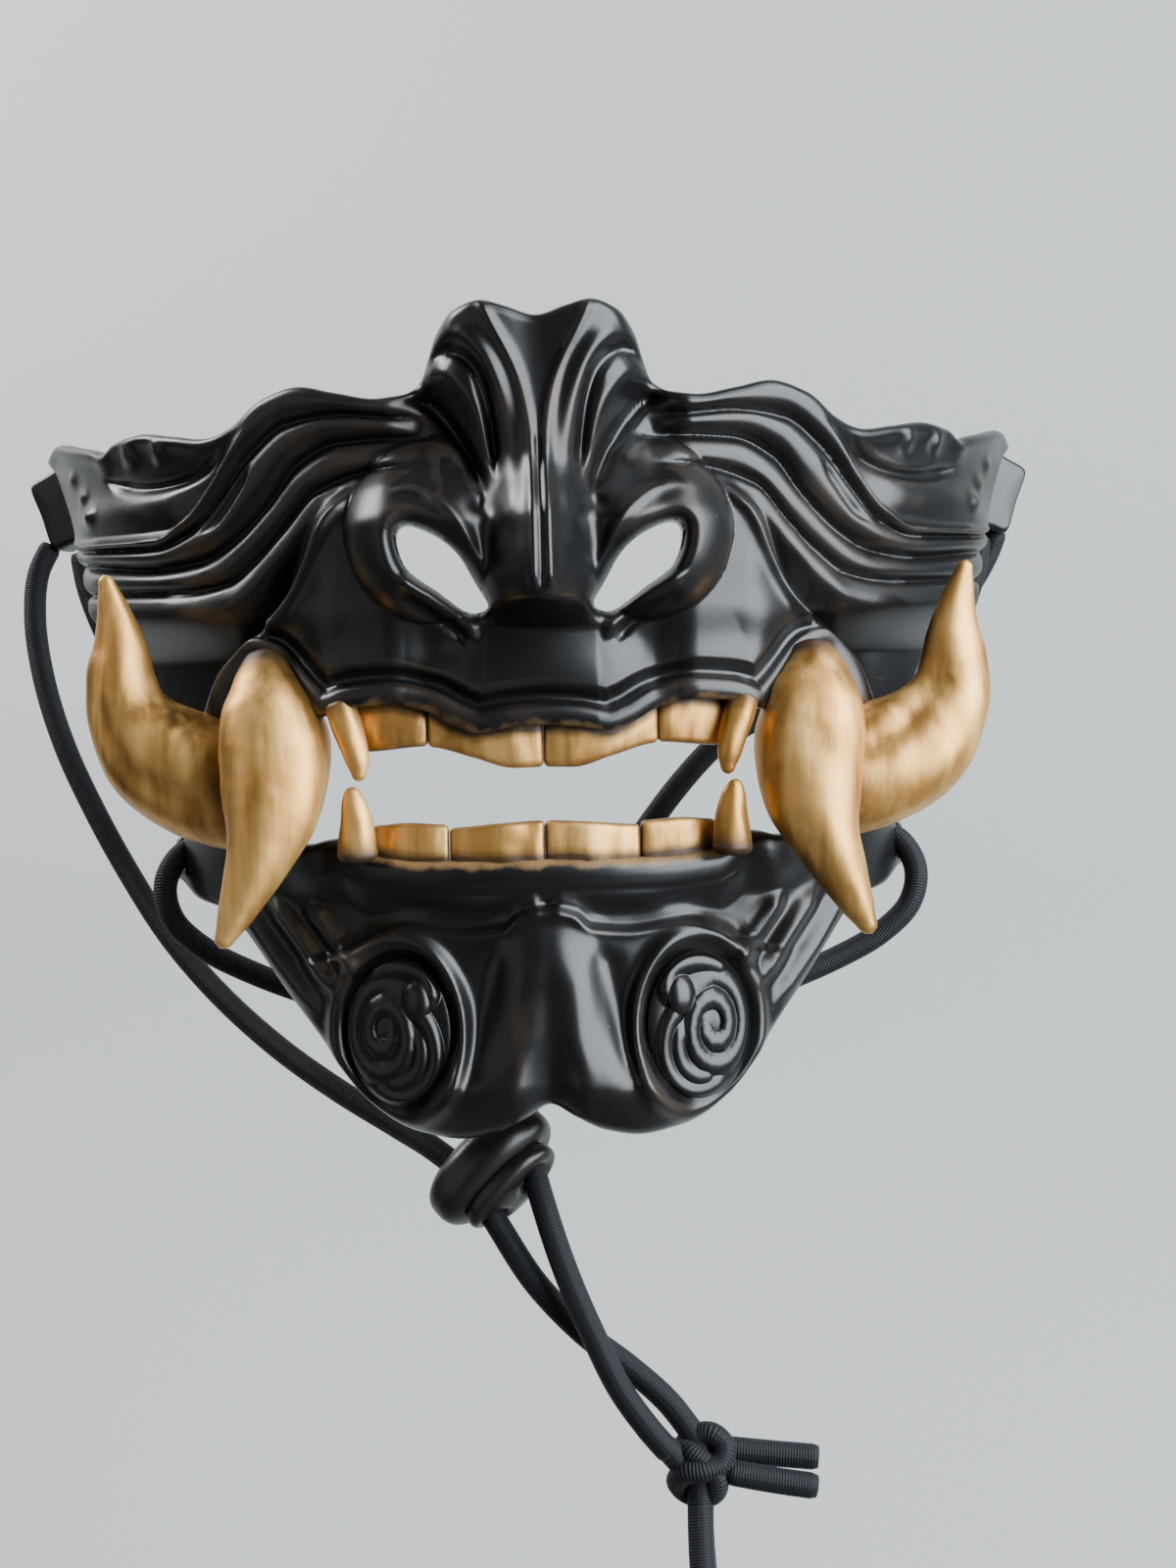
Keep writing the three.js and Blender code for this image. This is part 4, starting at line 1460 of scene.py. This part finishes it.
JAW_ROUTE_HALF = [
    (92.8, 77.4, 49.4), (91.4, 77, 42), (87, 75, 31), (79.4, 70.6, 18.6), (71, 65, 8), (64.6, 59.4, 0.6),
    (62.4, 53.6, -5.6), (64.8, 48.6, -9.6), (69.4, 45, -12.2), (71.8, 42.6, -17.6), (70.4, 42, -24),
    (65, 43, -29.6), (57.2, 43.6, -34), (43, 42.4, -39.4), (23, 38.8, -43.6), (0, 37, -45)]
LOOP_ROUTE = [
    (24.6, 2.2, -124.6), (24.4, -0.8, -132), (24.6, -4, -140), (25.8, -5.6, -148.2), (27.2, -3.8, -155.6),
    (28.2, -0.2, -160.6), (28.8, 5, -162.6), (28.6, 10.2, -160), (27.6, 13, -154), (26.6, 12.8, -147),
    (25.8, 11, -140.4), (25.2, 8.6, -132), (25.2, 7, -124.6)]
TAIL_ROUTES = {
    "cord_tail_upper": [(29.6, 5.9, -117.4), (37.8, 5.7, -118.4), (45.8, 5.3, -119.2)],
    "cord_tail_lower": [(29.4, 1.7, -120.2), (37.4, 1.7, -121.9), (45, 1.9, -123.3)],
}


@dataclass
class Stopper:
    """The two-tiered, pebble-shaped cord stopper."""

    center: Triple = (-10.2, 16.0, -68.6)
    half_length: float = 13.0
    half_width: float = 8.0
    half_thickness: float = 5.6
    tier_offset: float = 4.9
    tier_size: float = 0.76
    long_axis: Triple = (0.72, 0.05, 0.69)
    face_axis: Triple = (-0.5, 0.5, 0.68)
    dish_depth: float = 0.22
    dish_width: float = 1.2
    rings: int = 60
    spokes: int = 96

    def pebble(self, size: float, thickness: float) -> Array:
        """Points of a rounded, slightly squared pebble, in its own axes.

        Args:
            size: the tier's share of the full length and width.
            thickness: half its thickness.

        Returns:
            The points.
        """
        around = np.linspace(0, math.tau, self.spokes, endpoint=False)
        polar, turn = np.meshgrid(np.linspace(0, math.pi, self.rings), around, indexing="ij")

        def squared(value: Array, power: float) -> Array:
            """The value pushed toward -1 or 1."""
            return np.sign(value) * np.abs(value) ** power

        outline, crown = 0.85, 0.7
        return np.stack([size * self.half_length * squared(np.sin(polar) * np.cos(turn), outline),
                         thickness * squared(np.cos(polar), crown),
                         size * self.half_width * squared(np.sin(polar) * np.sin(turn), outline)],
                        -1).reshape(-1, 3)

    def build(self, strands: Sequence[Array]) -> Piece:
        """Makes the stopper, dished where the strands go in.

        Args:
            strands: the centre lines of the strands through it.

        Returns:
            The stopper's object.
        """
        along = np.array(self.long_axis)
        along /= np.linalg.norm(along)
        face = np.array(self.face_axis)
        face -= along * (face @ along)
        face /= np.linalg.norm(face)
        basis = np.stack([along, face, np.cross(along, face)])
        parts = MeshParts()
        tiers = [(1.0, self.half_thickness, 1.0),
                 (self.tier_size, self.half_thickness * 0.5, -self.tier_offset)]
        for size, thickness, offset in tiers:
            shape = self.pebble(size, thickness) + (0.0, offset, 0.0)
            points = shape @ basis + self.center
            for strand in strands:
                away = np.linalg.norm(points[:, None] - strand[None], axis=2).min(axis=1)
                pull = self.dish_depth * bell(np.maximum(away - 1.8, 0), self.dish_width)
                points = points - (points - self.center) * pull[:, None]
            parts.add(points, grid_faces(self.rings, self.spokes, wrap=True))
        piece = parts.build("cord_stopper", Slot.STOPPER, ["cord_stopper"])
        merge_points(piece)
        return piece


@dataclass
class Knot:
    """The knot that ties both ends of the cord, with short lengths that meet the strands, loop and tails."""

    radius: float = 2.1
    sides: int = 20
    turns: Points = (
        (24.2, 4.6, -114.6), (27, 3.4, -114.1), (29.1, 2.6, -116.3), (28, 1.4, -118.8),
        (25.1, 0.6, -119.6), (22.2, 1.4, -120.1), (20.9, 3.4, -122), (22.4, 4.6, -124.2),
        (25.1, 3.4, -124.8), (27.2, 1.9, -123.5), (27.4, 1.2, -121.2), (25.4, 1.4, -118.7),
        (23.3, 2.6, -117.1), (22.5, 4.8, -116.2))
    stubs: Sequence[Points] = (
        ((22.4, 5, -112.4), (24.6, 4.4, -115.6), (25.6, 4.2, -119)),
        ((18.4, 2.4, -115.2), (21, 3, -118.4), (23.6, 3.6, -121.4)),
        ((24.6, 2.6, -120), (24.6, 2.2, -123), (24.5, 1.4, -126.4)),
        ((25.6, 5.4, -120), (25.3, 6.6, -123), (25.2, 7.2, -126.4)),
        ((25.6, 4.6, -117), (28, 5.2, -117.5), (31, 5.4, -118)),
        ((25.6, 2.6, -119.4), (28, 2.2, -119.7), (30.8, 2, -120.2)))

    def build(self) -> Piece:
        """Makes the knot.

        Returns:
            The piece's object.
        """
        parts = MeshParts()
        closed = smooth_line(self.turns, 200, closed=True)
        rings, along, angle = sweep(closed, np.full(len(closed), self.radius), self.sides)
        faces = grid_faces(len(closed), self.sides, wrap=True)
        parts.add(rings, faces, along=along * line_length(closed), turn=angle)
        for stub in self.stubs:
            add_tube(parts, smooth_line(stub, 12), CORD_DIAMETER / 2 - 0.04, self.sides)
        return parts.build("cord_knot", Slot.ELASTIC, ["cord_knot"])


def add_tube(parts: MeshParts, line: Array, radius: float, sides: int) -> None:
    """Adds a length of cord with closed ends.

    Args:
        parts: the mesh that it joins.
        line: its centre line.
        radius: its radius.
        sides: points round it.
    """
    radii = np.full(len(line), radius)
    radii[0] = radii[-1] = radius - 0.3
    rings, along, angle = sweep(line, radii, sides)
    parts.add(rings, capped_faces(len(line), sides), along=along * line_length(line), turn=angle)


# ------------------------------------------------------------------ finishes


class ShaderKit:
    """Shader nodes of one material or group, with short ways to add and join them."""

    def __init__(self, tree: bpy.types.NodeTree) -> None:
        """Takes the tree to work in."""
        self.tree = tree

    def node(self, kind: str, **settings: object) -> bpy.types.Node:
        """Adds a node with settings.

        Args:
            kind: the node's type.
            settings: its settings, by name.

        Returns:
            The node.
        """
        node = self.tree.nodes.new(kind)
        for key, value in settings.items():
            setattr(node, key, value)
        return node

    def join(self, source: Socket, target: Socket) -> None:
        """Joins two sockets."""
        self.tree.links.new(source, target)

    def attribute(self, name: str) -> Socket:
        """The painted value of that name."""
        return self.node("ShaderNodeAttribute", attribute_name=name).outputs["Fac"]

    def math(self, operation: str, first: object, second: object = 0.0) -> Socket:
        """A sum on two sockets or numbers.

        Args:
            operation: which sum.
            first: the first socket, number or colour.
            second: the second.

        Returns:
            The answer's socket.
        """
        node = self.node("ShaderNodeMath", operation=operation)
        for value, socket in zip((first, second), node.inputs):
            if isinstance(value, (int, float)):
                socket.default_value = value
            else:
                self.join(value, socket)
        return node.outputs[0]

    def noise(self, scale: float, detail: float = 3.0, vector: Socket | None = None) -> Socket:
        """Cloudy noise over the object.

        Args:
            scale: how fine it is.
            detail: how many octaves it has.
            vector: where it is read; none reads it at the point of the object.

        Returns:
            The noise's socket.
        """
        node = self.node("ShaderNodeTexNoise")
        node.inputs["Scale"].default_value = scale
        node.inputs["Detail"].default_value = detail
        self.join(vector or self.place(), node.inputs["Vector"])
        return node.outputs["Fac"]

    def place(self, scale: Triple = (1, 1, 1)) -> Socket:
        """The point of the object, stretched.

        Args:
            scale: the factor along each axis.

        Returns:
            The point's socket.
        """
        coordinate = self.node("ShaderNodeTexCoord")
        mapping = self.node("ShaderNodeMapping")
        mapping.inputs["Scale"].default_value = scale
        self.join(coordinate.outputs["Object"], mapping.inputs["Vector"])
        return mapping.outputs[0]

    def ramp(self, value: Socket, low: float, high: float, start: float = 0.0,
             end: float = 1.0) -> Socket:
        """Maps a value's range to another, clamped.

        Args:
            value: the socket to map.
            low: the value that maps to start.
            high: the value that maps to end.
            start: the first answer.
            end: the last answer.

        Returns:
            The answer's socket.
        """
        node = self.node("ShaderNodeMapRange")
        for key, number in (("From Min", low), ("From Max", high), ("To Min", start), ("To Max", end)):
            node.inputs[key].default_value = number
        self.join(value, node.inputs["Value"])
        return node.outputs[0]

    def mix(self, share: Socket, first: object, second: object) -> Socket:
        """Mixes two colours.

        Args:
            share: the share, from 0 to 1.
            first: the first socket, number or colour.
            second: the second.

        Returns:
            The colour's socket.
        """
        node = self.node("ShaderNodeMix", data_type="RGBA")
        self.join(share, node.inputs["Factor"])
        for value, socket in ((first, node.inputs[6]), (second, node.inputs[7])):
            if isinstance(value, tuple):
                socket.default_value = (*value, 1.0)
            else:
                self.join(value, socket)
        return node.outputs[2]

    def bump(self, height: Socket, distance: float, strength: float = 1.0) -> Socket:
        """The normal of a bumpy surface.

        Args:
            height: the height of the bumps.
            distance: how tall they are, in metres.
            strength: how strongly they show.

        Returns:
            The normal's socket.
        """
        node = self.node("ShaderNodeBump")
        node.inputs["Distance"].default_value = distance
        node.inputs["Strength"].default_value = strength
        self.join(height, node.inputs["Height"])
        return node.outputs[0]


def new_material(name: str) -> tuple[ShaderKit, bpy.types.Node]:
    """An empty material.

    Args:
        name: the slot it dresses, or the piece of the studio.
    """
    material = bpy.data.materials.new(name + FINISH)
    material.use_nodes = True
    kit = ShaderKit(material.node_tree)
    return kit, material.node_tree.nodes["Principled BSDF"]


def dust_group() -> bpy.types.NodeTree:
    """Fine specks of dust and faint scratches, shared by the shells and the stopper.

    Returns:
        The group, with the specks and the scratches as outputs.
    """
    tree = bpy.data.node_groups.new("dust_and_scratches", "ShaderNodeTree")
    for name, direction in (("Speck size", "INPUT"), ("Speck share", "INPUT"), ("Specks", "OUTPUT"),
                            ("Scratches", "OUTPUT")):
        tree.interface.new_socket(name, in_out=direction, socket_type="NodeSocketFloat")
    kit = ShaderKit(tree)
    entry, leave = kit.node("NodeGroupInput"), kit.node("NodeGroupOutput")
    cells = kit.node("ShaderNodeTexVoronoi", feature="F1")
    kit.join(kit.place(), cells.inputs["Vector"])
    kit.join(entry.outputs["Speck size"], cells.inputs["Scale"])
    chosen = kit.math("LESS_THAN", cells.outputs["Color"], entry.outputs["Speck share"])
    dot = kit.ramp(cells.outputs["Distance"], 0.1, 0.2, 1.0, 0.0)
    kit.join(kit.math("MULTIPLY", chosen, dot), leave.inputs["Specks"])
    streak = kit.noise(60, 2.0, kit.place((1.0, 1.0, 22.0)))
    kit.join(kit.ramp(streak, 0.66, 0.7), leave.inputs["Scratches"])
    return tree


def add_dust(kit: ShaderKit, group: bpy.types.NodeTree, share: float) -> bpy.types.Node:
    """The dust group's node in a material, with specks on that share of its cells.

    Args:
        kit: the nodes of the material.
        group: the dust group.
        share: the share, from 0 to 1.

    Returns:
        The group's node.
    """
    specks = kit.node("ShaderNodeGroup", node_tree=group)
    specks.inputs["Speck size"].default_value = SPECK_CELLS
    specks.inputs["Speck share"].default_value = share
    return specks


@dataclass(frozen=True)
class LacquerFinish:
    """Black satin-gloss moulding, rubbed brown on its ridges, with gold dust beside the teeth."""

    black: Triple = (0.0045, 0.0046, 0.0050)
    rubbed: Triple = (0.034, 0.022, 0.014)
    dust: Triple = (0.16, 0.155, 0.15)
    gilt: Triple = (0.20, 0.115, 0.045)

    def make(self, dust: bpy.types.NodeTree) -> None:
        """Makes the material.

        Args:
            dust: the dust group.
        """
        kit, shader = new_material(Slot.LACQUER.value)
        marks = add_dust(kit, dust, 0.06)
        patches = kit.ramp(kit.noise(38, 4.0), 0.48, 0.68)
        ridge = kit.ramp(kit.attribute("wear"), 0.35, 0.9, 0.0, 0.7)
        worn = kit.math("MULTIPLY", ridge, patches)
        color = kit.mix(worn, self.black, self.rubbed)
        color = kit.mix(kit.math("MULTIPLY", marks.outputs["Specks"], 0.6), color, self.dust)
        grainy = kit.math("ADD", kit.attribute("gilt"), kit.ramp(kit.noise(210, 5.0), 0.3, 0.7, -0.55, 0.25))
        gilded = kit.ramp(kit.attribute("gilt"), 0.0, 0.1)
        settled = kit.math("MULTIPLY", kit.ramp(grainy, 0.15, 0.85), gilded)
        color = kit.mix(settled, color, self.gilt)
        kit.join(color, shader.inputs["Base Color"])
        haze = kit.ramp(kit.noise(26, 5.0), 0.3, 0.72, 0.26, 0.36)
        rough = kit.math("ADD", haze, kit.math("MULTIPLY", worn, 0.12))
        rough = kit.math("ADD", rough, kit.math("MULTIPLY", marks.outputs["Scratches"], 0.05))
        rough = kit.math("ADD", rough, kit.math("MULTIPLY", settled, 0.15))
        kit.join(rough, shader.inputs["Roughness"])
        shader.inputs["Specular IOR Level"].default_value = 0.45
        height = kit.math("ADD", kit.math("MULTIPLY", kit.noise(900, 2.0), 0.10), kit.noise(95, 3.0))
        kit.join(kit.bump(height, 0.0002, 0.45), shader.inputs["Normal"])


@dataclass(frozen=True)
class GoldFinish:
    """Antique gold paint, brushed lengthwise, dark in the dents, with painted shade at the roots where the
    gold goes under the shell.
    """

    gold: Triple = (0.52, 0.265, 0.065)
    pale: Triple = (0.78, 0.47, 0.155)
    dark: Triple = (0.05, 0.026, 0.010)

    def make(self) -> None:
        """Makes the material."""
        kit, shader = new_material(Slot.GOLD.value)
        streaks = kit.noise(240, 4.0, kit.place((1.0, 1.0, 0.11)))
        blotches = kit.noise(75, 4.0)
        color = kit.mix(kit.ramp(streaks, 0.4, 0.7), self.gold, self.pale)
        shade = kit.math("MULTIPLY", kit.ramp(blotches, 0.44, 0.72), kit.ramp(streaks, 0.6, 0.35))
        color = kit.mix(kit.math("MULTIPLY", shade, 0.75), color, self.dark)
        # Painted shade at the roots, read from the painted root value, with its border broken up by blotches;
        # the shaded roots are also less metallic.
        root = kit.math("ADD", kit.attribute("root"), kit.ramp(blotches, 0.3, 0.7, -0.3, 0.3))
        color = kit.mix(kit.ramp(root, 0.15, 0.95), color, self.dark)
        kit.join(color, shader.inputs["Base Color"])
        kit.join(kit.ramp(root, 0.4, 1.0, 0.82, 0.25), shader.inputs["Metallic"])
        kit.join(kit.ramp(streaks, 0.25, 0.75, 0.38, 0.56), shader.inputs["Roughness"])
        height = kit.math("ADD", streaks, kit.math("MULTIPLY", kit.noise(520, 3.0), 0.35))
        kit.join(kit.bump(height, 0.0002, 0.55), shader.inputs["Normal"])


@dataclass(frozen=True)
class ElasticFinish:
    """Round braided elastic with fine cross ribs and a cool sheen."""

    black: Triple = (0.0035, 0.004, 0.006)
    lint: Triple = (0.014, 0.016, 0.022)
    rib_pitch: float = 0.5

    def make(self) -> None:
        """Makes the material."""
        kit, shader = new_material(Slot.ELASTIC.value)
        along = kit.attribute("along")
        slant = kit.math("ADD", kit.math("MULTIPLY", along, math.tau / self.rib_pitch), kit.attribute("turn"))
        wave = kit.math("SINE", slant)
        raised = kit.ramp(wave, -0.6, 1.0)
        strands = kit.math("SINE", kit.math("MULTIPLY", kit.attribute("turn"), 14.0))
        color = kit.mix(kit.math("MULTIPLY", raised, 0.5), self.black, self.lint)
        kit.join(color, shader.inputs["Base Color"])
        shader.inputs["Roughness"].default_value = 0.62
        shader.inputs["Specular IOR Level"].default_value = 0.25
        shader.inputs["Sheen Weight"].default_value = 0.05
        shader.inputs["Sheen Roughness"].default_value = 0.4
        height = kit.math("ADD", raised, kit.math("MULTIPLY", strands, 0.12))
        kit.join(kit.bump(height, 0.00014, 0.8), shader.inputs["Normal"])


@dataclass(frozen=True)
class StopperFinish:
    """Dark brown-black moulded plastic with a soft shine."""

    black: Triple = (0.008, 0.0066, 0.006)

    def make(self, dust: bpy.types.NodeTree) -> None:
        """Makes the material.

        Args:
            dust: the dust group.
        """
        kit, shader = new_material(Slot.STOPPER.value)
        marks = add_dust(kit, dust, 0.05)
        color = kit.mix(kit.math("MULTIPLY", marks.outputs["Specks"], 0.3), self.black, (0.1, 0.1, 0.1))
        kit.join(color, shader.inputs["Base Color"])
        kit.join(kit.ramp(kit.noise(60, 4.0), 0.3, 0.7, 0.28, 0.4), shader.inputs["Roughness"])
        kit.join(kit.bump(kit.noise(1200, 2.0), 0.00005, 0.6), shader.inputs["Normal"])


# ------------------------------------------------------------------ studio


@dataclass
class Studio:
    """The camera, the lights, the floor and the backdrop."""

    mouth: Vector
    distance: float = 0.4
    aside: float = -0.006
    aim: float = 0.0076
    roll: float = math.radians(-1.2)
    lens: float = 53.1

    def place_camera(self) -> None:
        """Puts the camera in front of the mouth, a little turned and rolled."""
        data = bpy.data.cameras.new("camera")
        data.lens = self.lens
        data.clip_start = 0.01
        camera = add_object("camera", data)
        turn = math.atan2(self.aim - self.aside, self.distance)
        spot = self.mouth + Vector((self.aside, -self.distance, 0))
        camera.matrix_world = (Matrix.Translation(spot) @ Matrix.Rotation(-turn, 4, "Z")
                               @ Matrix.Rotation(math.pi / 2, 4, "X") @ Matrix.Rotation(self.roll, 4, "Z"))
        bpy.context.scene.camera = camera

    def area(self, name: str, spot: Triple, size: tuple[float, float], power: float,
             color: Triple, target: Triple = (0.0, 0.0, 0.0)) -> None:
        """Adds a soft lamp.

        Args:
            name: its name.
            spot: where it is, from the mouth.
            size: its width and height.
            power: its power in watts.
            color: its colour.
            target: what it looks at, from the mouth.
        """
        data = bpy.data.lights.new(name, "AREA")
        data.shape = "RECTANGLE"
        data.size, data.size_y = size
        data.energy = power
        data.color = color
        lamp = add_object(name, data)
        lamp.location = self.mouth + Vector(spot)
        aim = Vector(target) - Vector(spot)
        lamp.rotation_euler = aim.to_track_quat("-Z", "Y").to_euler()

    def light(self) -> None:
        """A broad window on the right and above, a weak fill on the left, and a lamp on the backdrop."""
        self.area("window", (0.84, -0.56, 0.35), (1.15, 1.3), 62.0, (0.86, 0.93, 1.0))
        self.area("fill", (-0.9, -0.6, 0.1), (1.0, 1.0), 1.6, (1.0, 0.97, 0.94))
        self.area("sky", (0.45, -0.15, 0.85), (0.5, 0.4), 3.5, (0.93, 0.97, 1.0))
        self.area("wall_wash", (-0.75, 0.3, 0.7), (0.5, 0.5), 16.0, (1.0, 1.0, 0.99), (-0.35, 0.75, 0.25))
        world = bpy.data.worlds.new("surround")
        world.use_nodes = True
        background = world.node_tree.nodes["Background"]
        background.inputs[0].default_value = (0.80, 0.82, 0.83, 1)
        background.inputs[1].default_value = 0.10
        bpy.context.scene.world = world

    def floor(self, lowest: float) -> None:
        """A floor that curves up into a pale backdrop, darkened toward the front with painted shade.

        Args:
            lowest: the lowest point of the mask.
        """
        width, front, back, ceiling, drop, bend, steps = 4.0, -4.0, 0.75, 3.0, 0.3, 0.4, 12
        level = lowest - drop
        profile = [(front, level), (0.2, level)]
        for k in range(steps + 1):
            angle = k / steps * math.pi / 2
            profile.append((back - bend + bend * math.sin(angle), level + bend - bend * math.cos(angle)))
        profile.append((back, ceiling))
        points = [(side * width, y, z) for y, z in profile for side in (-1, 1)]
        faces = [(2 * k, 2 * k + 1, 2 * k + 3, 2 * k + 2) for k in range(len(profile) - 1)]
        mesh = bpy.data.meshes.new("floor")
        mesh.from_pydata(points, [], faces)
        mesh.shade_smooth()
        piece = add_object("floor", mesh)
        kit, shader = new_material("pale_floor")
        split = kit.node("ShaderNodeSeparateXYZ")
        kit.join(kit.place(), split.inputs[0])
        # Painted shade: the floor darkens toward the front, standing in for an unlit room in front of the
        # mask that the lacquer reflects.
        back_share = kit.ramp(split.outputs[1], 0.0, 0.5)
        kit.join(kit.mix(back_share, (0.07, 0.07, 0.07), (0.40, 0.41, 0.405)), shader.inputs["Base Color"])
        shader.inputs["Roughness"].default_value = 0.9
        mesh.materials.append(bpy.data.materials["pale_floor" + FINISH])


# ------------------------------------------------------------------ the whole mask


@dataclass
class FaceGuard:
    """All the pieces of the mask."""

    def teeth(self, side: Side, upper: UpperShell, jaw: LowerJaw) -> None:
        """Builds one side's teeth.

        Args:
            side: the half of the mask.
            upper: the shell that the upper teeth stand behind.
            jaw: the shell that the lower teeth stand behind.
        """
        word = side.word
        Tooth(f"upper_tooth_inner_{word}", side, [(0, 0.03), (1, 0.03)], [(0, 19.85), (1, 19.85)],
              [(0, 13.4), (10, 12.4), (20, 16)], [(0, 3.1), (5.2, 3.0), (12, 4.9), (19.8, 6.9)], upper, -3.9,
              crease_share=0.24).build()
        Tooth(f"upper_tooth_outer_{word}", side, [(0, 19.95), (1, 19.9)], [(0, 31), (1, 34.6)],
              [(20, 16), (26, 17.4), (34, 16.6)], [(20, 7.1), (30.6, 6.4)], upper, -3.7).build()
        Tooth(f"lower_tooth_inner_{word}", side, [(0, 0.03), (1, 0.03)], [(0, 16.5), (1, 16.5)],
              [(0, -6.1), (8, -6.5), (16.5, -7.1)], [(0, -15.8), (16.5, -15.6)], jaw, -1.7, root_up=False,
              crease_share=0.45).build()
        Tooth(f"lower_tooth_outer_{word}", side, [(0, 16.6), (1, 16.7)], [(0, 31), (1, 30)],
              [(17, -6.5), (24, -6.1), (30, -6.5)], [(17, -15.4),
                                                     (31, -14.4)], jaw, -1.7, root_up=False).build()

    def horns(self, side: Side) -> None:
        """Builds one side's fangs and tusk.

        Args:
            side: the half of the mask.
        """
        word = side.word
        Horn(f"big_fang_{word}", side,
             [(48, 9, 24.5), (48.2, 6.8, 19), (47.6, 4.7, 13), (46.8, 3.2, 6.5), (46.7, 1.6, 1),
             (47.2, 0, -4.5),
              (48.8, -1.6, -10.5), (51.2, -2.4, -16.5), (53.7, -2.8, -22), (56, -3, -26.8)],
             [3.6, 6, 8.8, 9.7, 9.3, 8.2, 6.1, 4.6, 3.1], root=0.16, seed=4 + side.value, tip=1.5).build()
        Horn(f"tusk_{word}", side,
             [(46, 17, -1), (51.5, 17, -0.2), (57, 17.2, 1), (62.5, 17.6, 3), (67.6, 18, 5.9),
             (71.6, 18.4, 10),
              (74.4, 18.8, 15), (75.4, 19, 20.5), (75.4, 19, 26), (76, 18.6, 31), (77, 18.2, 35.6),
              (78, 18, 39.4)],
             [9.5, 10.6, 11.1, 11.2, 10.8, 9.7, 8, 6.7, 5.6, 4.1, 2.6], root=0.22, crease=0.16,
             seed=8 + side.value, tip=1.3).build()
        Horn(f"upper_small_fang_{word}", side,
             [(35.2, 0, 15.5), (34, -0.5, 11.5), (32.6, -1, 7.2), (31.9, -1.1, 3.7), (31.8, -1.2, 1.2)],
             [2.7, 2.7, 2.5, 2.1], root=0.4, rings=60, sides=32, tip=1.1).build()
        Horn(f"lower_small_fang_{word}", side,
             [(32.4, 0.6, -13), (32.5, 0.2, -9.5), (32.4, -0.2, -5.6), (32.9, -0.5, -2), (33.3, -0.7, 0.4)],
             [3.8, 3.4, 3.1, 2.7, 2.1], root=0.5, rings=60, sides=32, tip=1.2).build()

    def cords(self) -> CordRun:
        """Builds the cord, its stopper, knot and tails.

        Returns:
            The stretch that goes through the jaw.
        """
        knot = Knot().build()
        tails = [CordRun(name, route).build(declared=False) for name, route in TAIL_ROUTES.items()]
        left, right = CordRun("cord_left", LEFT_ROUTE, "knot"), CordRun("cord_right", RIGHT_ROUTE, "knot")
        stopper = Stopper().build([left.line(), right.line()])
        left.build(with_pieces=[stopper, knot, *tails])
        right.build()
        mirrored = [(-x, y, z) for x, y, z in JAW_ROUTE_HALF]
        through = CordRun("cord_jaw", mirrored + JAW_ROUTE_HALF[-2::-1])
        through.build()
        CordRun("cord_loop", LOOP_ROUTE, "knot").build()
        return through

    def build(self) -> None:
        """Builds everything, the cord first."""
        through = self.cords()
        upper, jaw = UpperShell(), LowerJaw()
        upper.build()
        jaw.build(through.line())
        for side in Side:
            Roundel(side, jaw).build()
            self.teeth(side, upper, jaw)
            self.horns(side)
            EarLug(side).build()


def main() -> None:
    """Builds the studio and the mask."""
    logging.basicConfig(level=logging.INFO, format="%(name)s %(message)s")
    studio = Studio(mouth=Vector((0, -SEAT_DEPTH * MM, -SEAT_HEIGHT * MM)))
    studio.place_camera()
    dust = dust_group()
    LacquerFinish().make(dust)
    GoldFinish().make()
    ElasticFinish().make()
    StopperFinish().make(dust)
    FaceGuard().build()
    studio.light()
    studio.floor(CAD_BOX[0][2])


if __name__ == "__main__":
    main()
